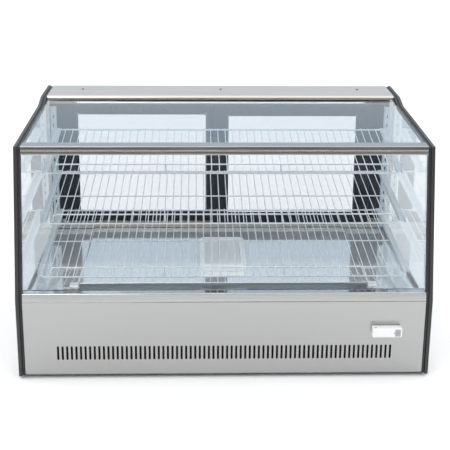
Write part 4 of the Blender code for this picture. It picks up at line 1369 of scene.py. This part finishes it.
class DISPLAY_CASE_OT_controller(bpy.types.Operator):
    """Builds the temperature controller and its two buttons"""

    bl_idname = "display_case.controller"
    bl_label = "Controller"
    bl_options = {"REGISTER", "UNDO"}

    def execute(self, context):
        low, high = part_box("controller_housing")
        shape = bmesh.new()
        block(shape, low, high, 0.0022, 3)
        middle = (low.z + high.z) / 2
        for low_corner, high_corner, material in (
            ((low.x + 0.008, low.y - 0.0004, middle - 0.008), (low.x + 0.050, low.y + 0.002, middle + 0.008), 0),
            ((high.x - 0.0205, low.y - 0.0003, low.z + 0.003), (high.x - 0.0045, low.y + 0.002, high.z - 0.003), 1),
            ((low.x + 0.006, low.y + 0.004, high.z - 0.0005), (low.x + 0.012, low.y + 0.010, high.z + 0.0004), 1),
        ):
            block(shape, low_corner, high_corner, 0.0003, 1, material)
        new_piece(
            "controller_housing_moulded",
            shape,
            ("white_plastic", "grey_plastic"),
            "case",
            ("controller_housing",),
        )
        for node, body in (("button_up", "up_button"), ("button_down", "down_button")):
            rounded_node(node, "grey_plastic", body, 0.0007, 3)
        return {"FINISHED"}


class DISPLAY_CASE_OT_refrigeration(bpy.types.Operator):
    """Builds the coils, fans and compressor inside the base"""

    bl_idname = "display_case.refrigeration"
    bl_label = "Refrigeration"
    bl_options = {"REGISTER", "UNDO"}

    def execute(self, context):
        for node in ("condenser_coil", "evaporator_coil"):
            self.build_coil(node)
        rounded_node("condenser_fan_shroud", "black_plastic", "case", 0.0010, 2)
        self.build_fan("condenser_fan_rotor", "condenser_fan", 1, 5, 0.016)
        self.build_fan("evaporator_fan_rotor", "evaporator_fan", 2, 7, 0.018)
        self.build_compressor()
        return {"FINISHED"}

    def build_coil(self, node):
        """Thin fins on rows of tube with return bends at both ends."""
        low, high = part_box(node)
        shape = bmesh.new()
        inset = 0.014
        count = 60
        pitch = (high.x - low.x - 2 * inset) / count
        fin = bmesh.new()
        block(fin, (low.x + inset, low.y, low.z), (low.x + inset + 0.0006, high.y, high.z))
        repeat(fin, count, (pitch, 0.0, 0.0))
        add_part(shape, fin, 0)
        rows = 3
        gap = (high.z - low.z) / (rows + 1)
        for level in range(rows):
            z = low.z + gap * (level + 1)
            tube = bmesh.new()
            reach = (high.y - low.y) * 0.25
            y = (low.y + high.y) / 2
            bend = min(reach, inset - 0.004)
            straight = high.x - low.x - 2 * bend - 0.008
            rod = Rod(tube, (low.x + 0.004 + bend, y - bend, z), X_AXIS, 0.0032, 8)
            rod.run(straight).turn(HALF_TURN, bend, Z_AXIS, 8).run(straight).turn(HALF_TURN, bend, Z_AXIS, 8)
            close_rods(tube)
            add_part(shape, tube, 1)
        # The condenser's black fins also stand in for the shade seen through the front slots, as painted shade.
        fins = "black_fins_and_shade" if node == "condenser_coil" else "fin_metal"
        new_piece(node + "_finned", shape, (fins, "copper_tube"), "case", (node,))

    def build_fan(self, node, body, axis, blades, hub):
        """A round hub with pitched blades."""
        low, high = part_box(node)
        centre = (low + high) / 2
        if axis == 1:
            centre = Vector((0.300, centre.y, 0.085))
        else:
            centre = Vector((0.360, -0.020, centre.z))
        tip = 0.044 if axis == 1 else 0.055
        depth = (high[axis] - low[axis]) / 2
        shape = turned(
            [(0.0, -depth), (hub * 0.9, -depth), (hub, -depth * 0.7), (hub, depth * 0.8), (0.0, depth)],
            (0, 0, 0),
        )
        for number in range(blades):
            blade = bmesh.new()
            bmesh.ops.create_grid(blade, x_segments=4, y_segments=3, size=0.5)
            bmesh.ops.scale(blade, vec=(tip - hub + 0.003, (tip + hub) * 0.62, 1.0), verts=blade.verts)
            bmesh.ops.translate(blade, vec=((tip + hub) / 2 - 0.001, 0.0, 0.0), verts=blade.verts)
            outer = [vert for vert in blade.verts if vert.co.x > tip * 0.8]
            bmesh.ops.scale(blade, vec=(0.96, 1.15, 1.0), verts=outer)
            bmesh.ops.rotate(
                blade, cent=(0, 0, 0), matrix=Matrix.Rotation(math.radians(22), 3, "X"), verts=blade.verts
            )
            for vert in blade.verts:
                vert.co.z = max(-depth * 0.92, min(depth * 0.92 - 0.001, vert.co.z))
            bmesh.ops.solidify(blade, geom=blade.faces[:], thickness=0.001)
            bmesh.ops.rotate(
                blade, cent=(0, 0, 0), matrix=Matrix.Rotation(2 * math.pi * number / blades, 3, "Z"), verts=blade.verts
            )
            add_part(shape, blade)
        if axis == 1:
            bmesh.ops.rotate(
                shape, cent=(0, 0, 0), matrix=Matrix.Rotation(QUARTER_TURN, 3, "X"), verts=shape.verts
            )
        bmesh.ops.translate(shape, vec=centre, verts=shape.verts)
        new_piece(node + "_bladed", shape, "black_plastic", body, (node,), 30.0)

    def build_compressor(self):
        """A hermetic shell with a welded seam and a terminal cover."""
        low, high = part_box("compressor")
        centre = foot_of(low, high)
        radius = (high.x - low.x) / 2
        tall = high.z - low.z
        seam = tall * 0.52
        profile = [
            (0.0, 0.0), (radius * 0.7, 0.0), (radius * 0.93, tall * 0.09), (radius * 0.955, tall * 0.3)
        ]
        profile += [(radius * 0.955, seam - 0.003), (radius, seam - 0.002), (radius, seam + 0.002)]
        profile += [(radius * 0.955, seam + 0.003)]
        for step in range(8):
            angle = QUARTER_TURN * step / 8
            profile.append((radius * 0.955 * math.cos(angle), tall * 0.66 + tall * 0.34 * math.sin(angle)))
        profile.append((0.0, tall))
        shell = turned(profile, centre, steps=32)
        block(
            shell,
            (low.x + 0.001, centre.y - 0.018, low.z + 0.030),
            (low.x + 0.016, centre.y + 0.018, low.z + 0.062),
            0.003,
            3,
        )
        new_piece("compressor_shell", shell, "black_plastic", "case", ("compressor",))


class DISPLAY_CASE_OT_rear_cover(bpy.types.Operator):
    """Builds the louvred service cover, the lamp switch and the cord gland"""

    bl_idname = "display_case.rear_cover"
    bl_label = "Rear Cover"
    bl_options = {"REGISTER", "UNDO"}

    def execute(self, context):
        rounded_node("rear_panel", "galvanised", "case", 0.0004, 1)
        face_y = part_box("rear_panel")[1].y
        hood = bmesh.new()
        width = LOUVRE_WIDTH
        start = LOUVRE_START
        ring = [hood.verts.new((start - width / 2, face_y, z)) for z in LOUVRE_ENDS]
        edge = hood.edges.new(ring)
        bmesh.ops.spin(
            hood,
            geom=ring + [edge],
            cent=(start + width / 2, face_y, 0.0),
            axis=(0, 0, 1),
            angle=-QUARTER_TURN,
            steps=5,
        )
        bmesh.ops.scale(
            hood, vec=(1.0, 0.5, 1.0), space=Matrix.Translation((0.0, -face_y, 0.0)), verts=hood.verts
        )
        bmesh.ops.solidify(hood, geom=hood.faces[:], thickness=0.001)
        repeat(hood, LOUVRES, (LOUVRE_PITCH, 0.0, 0.0))
        new_piece("rear_louvre_hoods", hood, "galvanised", "case", ())
        self.build_switch()
        self.build_gland()
        return {"FINISHED"}

    def build_switch(self):
        rounded_node("light_switch", "black_plastic", "switch_rocker", 0.0006, 3)
        low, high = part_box("light_switch")
        panel_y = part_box("rear_panel")[1].y
        bezel = bmesh.new()
        outer = ((low.x - 0.0035, low.z - 0.0035), (high.x + 0.0035, high.z + 0.0035))
        inner = ((low.x - 0.0007, low.z - 0.0017), (high.x + 0.0007, high.z + 0.0017))
        for x_low, x_high, z_low, z_high in (
            (outer[0][0], inner[0][0], outer[0][1], outer[1][1]),
            (inner[1][0], outer[1][0], outer[0][1], outer[1][1]),
            (inner[0][0], inner[1][0], outer[0][1], inner[0][1]),
            (inner[0][0], inner[1][0], inner[1][1], outer[1][1]),
        ):
            block(bezel, (x_low, panel_y, z_low), (x_high, panel_y + 0.0018, z_high), 0.0005, 2)
        new_piece("light_switch_bezel", bezel, "black_plastic", "case", ())

    def build_gland(self):
        low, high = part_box("cord_gland")
        radius = (high.x - low.x) / 2
        depth = high.y - low.y
        profile = [(0.0, 0.0), (radius, 0.0), (radius, depth * 0.35), (radius * 0.8, depth * 0.42)]
        profile += [(radius * 0.74, depth * 0.85), (radius * 0.62, depth), (radius * 0.40, depth)]
        profile += [(radius * 0.36, depth * 0.75), (0.0, depth * 0.72)]
        shape = turned(profile, ((low.x + high.x) / 2, low.y, (low.z + high.z) / 2), "Y", 24)
        new_piece("cord_gland_turned", shape, "black_plastic", "case", ("cord_gland",))


class DISPLAY_CASE_OT_base(bpy.types.Operator):
    """Builds the base tray and the four feet"""

    bl_idname = "display_case.base"
    bl_label = "Base and Feet"
    bl_options = {"REGISTER", "UNDO"}

    def execute(self, context):
        rounded_node("base_tray", "galvanised", "case", 0.0008, 2)
        for side in ("left", "right"):
            for end in ("front", "rear"):
                node = "%s_%s_foot" % (side, end)
                low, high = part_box(node)
                radius = (high.x - low.x) / 2
                tall = high.z - low.z
                profile = [
                    (0.0, 0.0), (radius * 0.82, 0.0), (radius * 0.93, tall * 0.08), (radius, tall * 0.3)
                ]
                profile += [(radius, tall * 0.55), (radius * 0.9, tall), (0.0, tall)]
                shape = turned(profile, foot_of(low, high), steps=28)
                new_piece(node + "_turned", shape, "foot_rubber", "case", (node,))
        return {"FINISHED"}


class DISPLAY_CASE_OT_studio(bpy.types.Operator):
    """Makes the pale floor, the soft lights and the camera"""

    bl_idname = "display_case.studio"
    bl_label = "Studio"
    bl_options = {"REGISTER", "UNDO"}

    def execute(self, context):
        studio = context.scene.case_studio
        context.scene.view_settings.view_transform = "Standard"
        self.build_floor(context, studio)
        self.build_lights(context, studio)
        self.build_camera(context, studio)
        return {"FINISHED"}

    def build_floor(self, context, studio):
        make_finish(
            "studio_floor", studio.floor, (0.75, 0.85), scales=(3.0, 0.5, 60.0), contrast=0.004, bump=0.02
        )
        shape = bmesh.new()
        bmesh.ops.create_grid(shape, x_segments=4, y_segments=4, size=45.0)
        mesh = bpy.data.meshes.new("studio_floor")
        shape.to_mesh(mesh)
        shape.free()
        mesh.materials.append(finish("studio_floor"))
        floor = bpy.data.objects.new("studio_floor", mesh)
        context.scene.collection.objects.link(floor)

    def build_sky(self, context, studio):
        """A pale sky, dark low down in front and softer low down behind."""
        world = bpy.data.worlds.new("studio_sky")
        world.use_nodes = True
        tree = world.node_tree
        split = tree.nodes.new("ShaderNodeSeparateXYZ")
        tree.links.new(tree.nodes.new("ShaderNodeTexCoord").outputs["Generated"], split.inputs["Vector"])
        front = map_value(tree, split.outputs["Y"], 1.0, 0.0, -0.80, -0.35)
        low = map_value(tree, split.outputs["Z"], 1.0, 0.0, 0.35, 0.70)
        rear = map_value(tree, split.outputs["Y"], 0.0, 1.0, 0.30, 0.75)
        raised = map_value(tree, split.outputs["Z"], 0.0, 1.0, 0.24, 0.34)
        rear_low = multiply(tree, rear, low)
        front_kept = map_value(tree, multiply(tree, front, low), 1.0, 1.0 - studio.front_dark, 0.0, 1.0)
        rear_kept = map_value(tree, rear_low, 1.0, 1.0 - studio.rear_soft, 0.0, 1.0)
        strength = multiply(tree, map_value(tree, front_kept, 0.0, studio.sky, 0.0, 1.0), rear_kept)
        colour = mix_colour(tree, multiply(tree, rear_low, raised), SKY_COLOUR, studio.rear_tint)
        sky = tree.nodes["Background"]
        tree.links.new(colour, sky.inputs["Color"])
        tree.links.new(strength, sky.inputs["Strength"])
        context.scene.world = world

    def build_lights(self, context, studio):
        self.build_sky(context, studio)
        for name, place, aim, size, power in (
            ("key_light", (-1.2, -2.2, 2.6), (0.0, 0.0, 0.3), 1.6, studio.key),
            ("right_fill", (2.4, -1.4, 1.6), (0.0, 0.0, 0.3), 1.2, studio.fill),
        ):
            lamp = bpy.data.lights.new(name, "AREA")
            lamp.shape = "DISK"
            lamp.size = size
            lamp.energy = power
            light = bpy.data.objects.new(name, lamp)
            light.location = place
            light.rotation_euler = (Vector(aim) - Vector(place)).to_track_quat("-Z", "Y").to_euler()
            context.scene.collection.objects.link(light)

    def build_camera(self, context, studio):
        data = bpy.data.cameras.new("studio_camera")
        data.lens = studio.lens
        data.sensor_width = 36.0
        data.shift_y = studio.shift
        camera = bpy.data.objects.new("studio_camera", data)
        yaw, pitch, roll = studio.camera_turn
        turn = Matrix.Rotation(-yaw, 4, "Z") @ Matrix.Rotation(QUARTER_TURN - pitch, 4, "X")
        camera.matrix_world = Matrix.Translation(studio.camera_place) @ turn @ Matrix.Rotation(roll, 4, "Z")
        context.scene.collection.objects.link(camera)
        context.scene.camera = camera


class DISPLAY_CASE_PT_panel(bpy.types.Panel):
    """Lists the builders and their settings"""

    bl_idname = "DISPLAY_CASE_PT_panel"
    bl_label = "Display Case"
    bl_space_type = "VIEW_3D"
    bl_region_type = "UI"
    bl_category = "Display Case"

    def draw(self, context):
        layout = self.layout
        for name in BUILD_ORDER:
            layout.operator("display_case." + name)
        for group in (context.scene.case_sizes, context.scene.case_finishes, context.scene.case_studio):
            box = layout.box()
            for key in group.bl_rna.properties.keys():
                if key not in ("rna_type", "name"):
                    box.prop(group, key)


BUILD_ORDER = (
    "finishes",
    "sides",
    "front_panel",
    "front_sill",
    "glass",
    "top_rail",
    "top_panel",
    "lamp",
    "doors",
    "tracks",
    "uprights",
    "brackets",
    "shelves",
    "deck",
    "water_tray",
    "controller",
    "refrigeration",
    "rear_cover",
    "base",
    "studio",
)

CLASSES = (
    CaseSizes,
    CaseFinishes,
    StudioSettings,
    DISPLAY_CASE_OT_finishes,
    DISPLAY_CASE_OT_sides,
    DISPLAY_CASE_OT_front_panel,
    DISPLAY_CASE_OT_front_sill,
    DISPLAY_CASE_OT_glass,
    DISPLAY_CASE_OT_top_rail,
    DISPLAY_CASE_OT_top_panel,
    DISPLAY_CASE_OT_lamp,
    DISPLAY_CASE_OT_doors,
    DISPLAY_CASE_OT_tracks,
    DISPLAY_CASE_OT_uprights,
    DISPLAY_CASE_OT_brackets,
    DISPLAY_CASE_OT_shelves,
    DISPLAY_CASE_OT_deck,
    DISPLAY_CASE_OT_water_tray,
    DISPLAY_CASE_OT_controller,
    DISPLAY_CASE_OT_refrigeration,
    DISPLAY_CASE_OT_rear_cover,
    DISPLAY_CASE_OT_base,
    DISPLAY_CASE_OT_studio,
    DISPLAY_CASE_PT_panel,
)


def register():
    for item in CLASSES:
        bpy.utils.register_class(item)
    bpy.types.Scene.case_sizes = PointerProperty(type=CaseSizes)
    bpy.types.Scene.case_finishes = PointerProperty(type=CaseFinishes)
    bpy.types.Scene.case_studio = PointerProperty(type=StudioSettings)


def unregister():
    del bpy.types.Scene.case_studio
    del bpy.types.Scene.case_finishes
    del bpy.types.Scene.case_sizes
    for item in reversed(CLASSES):
        bpy.utils.unregister_class(item)


def main():
    register()
    for name in BUILD_ORDER:
        getattr(bpy.ops.display_case, name)()


if __name__ == "__main__":
    main()
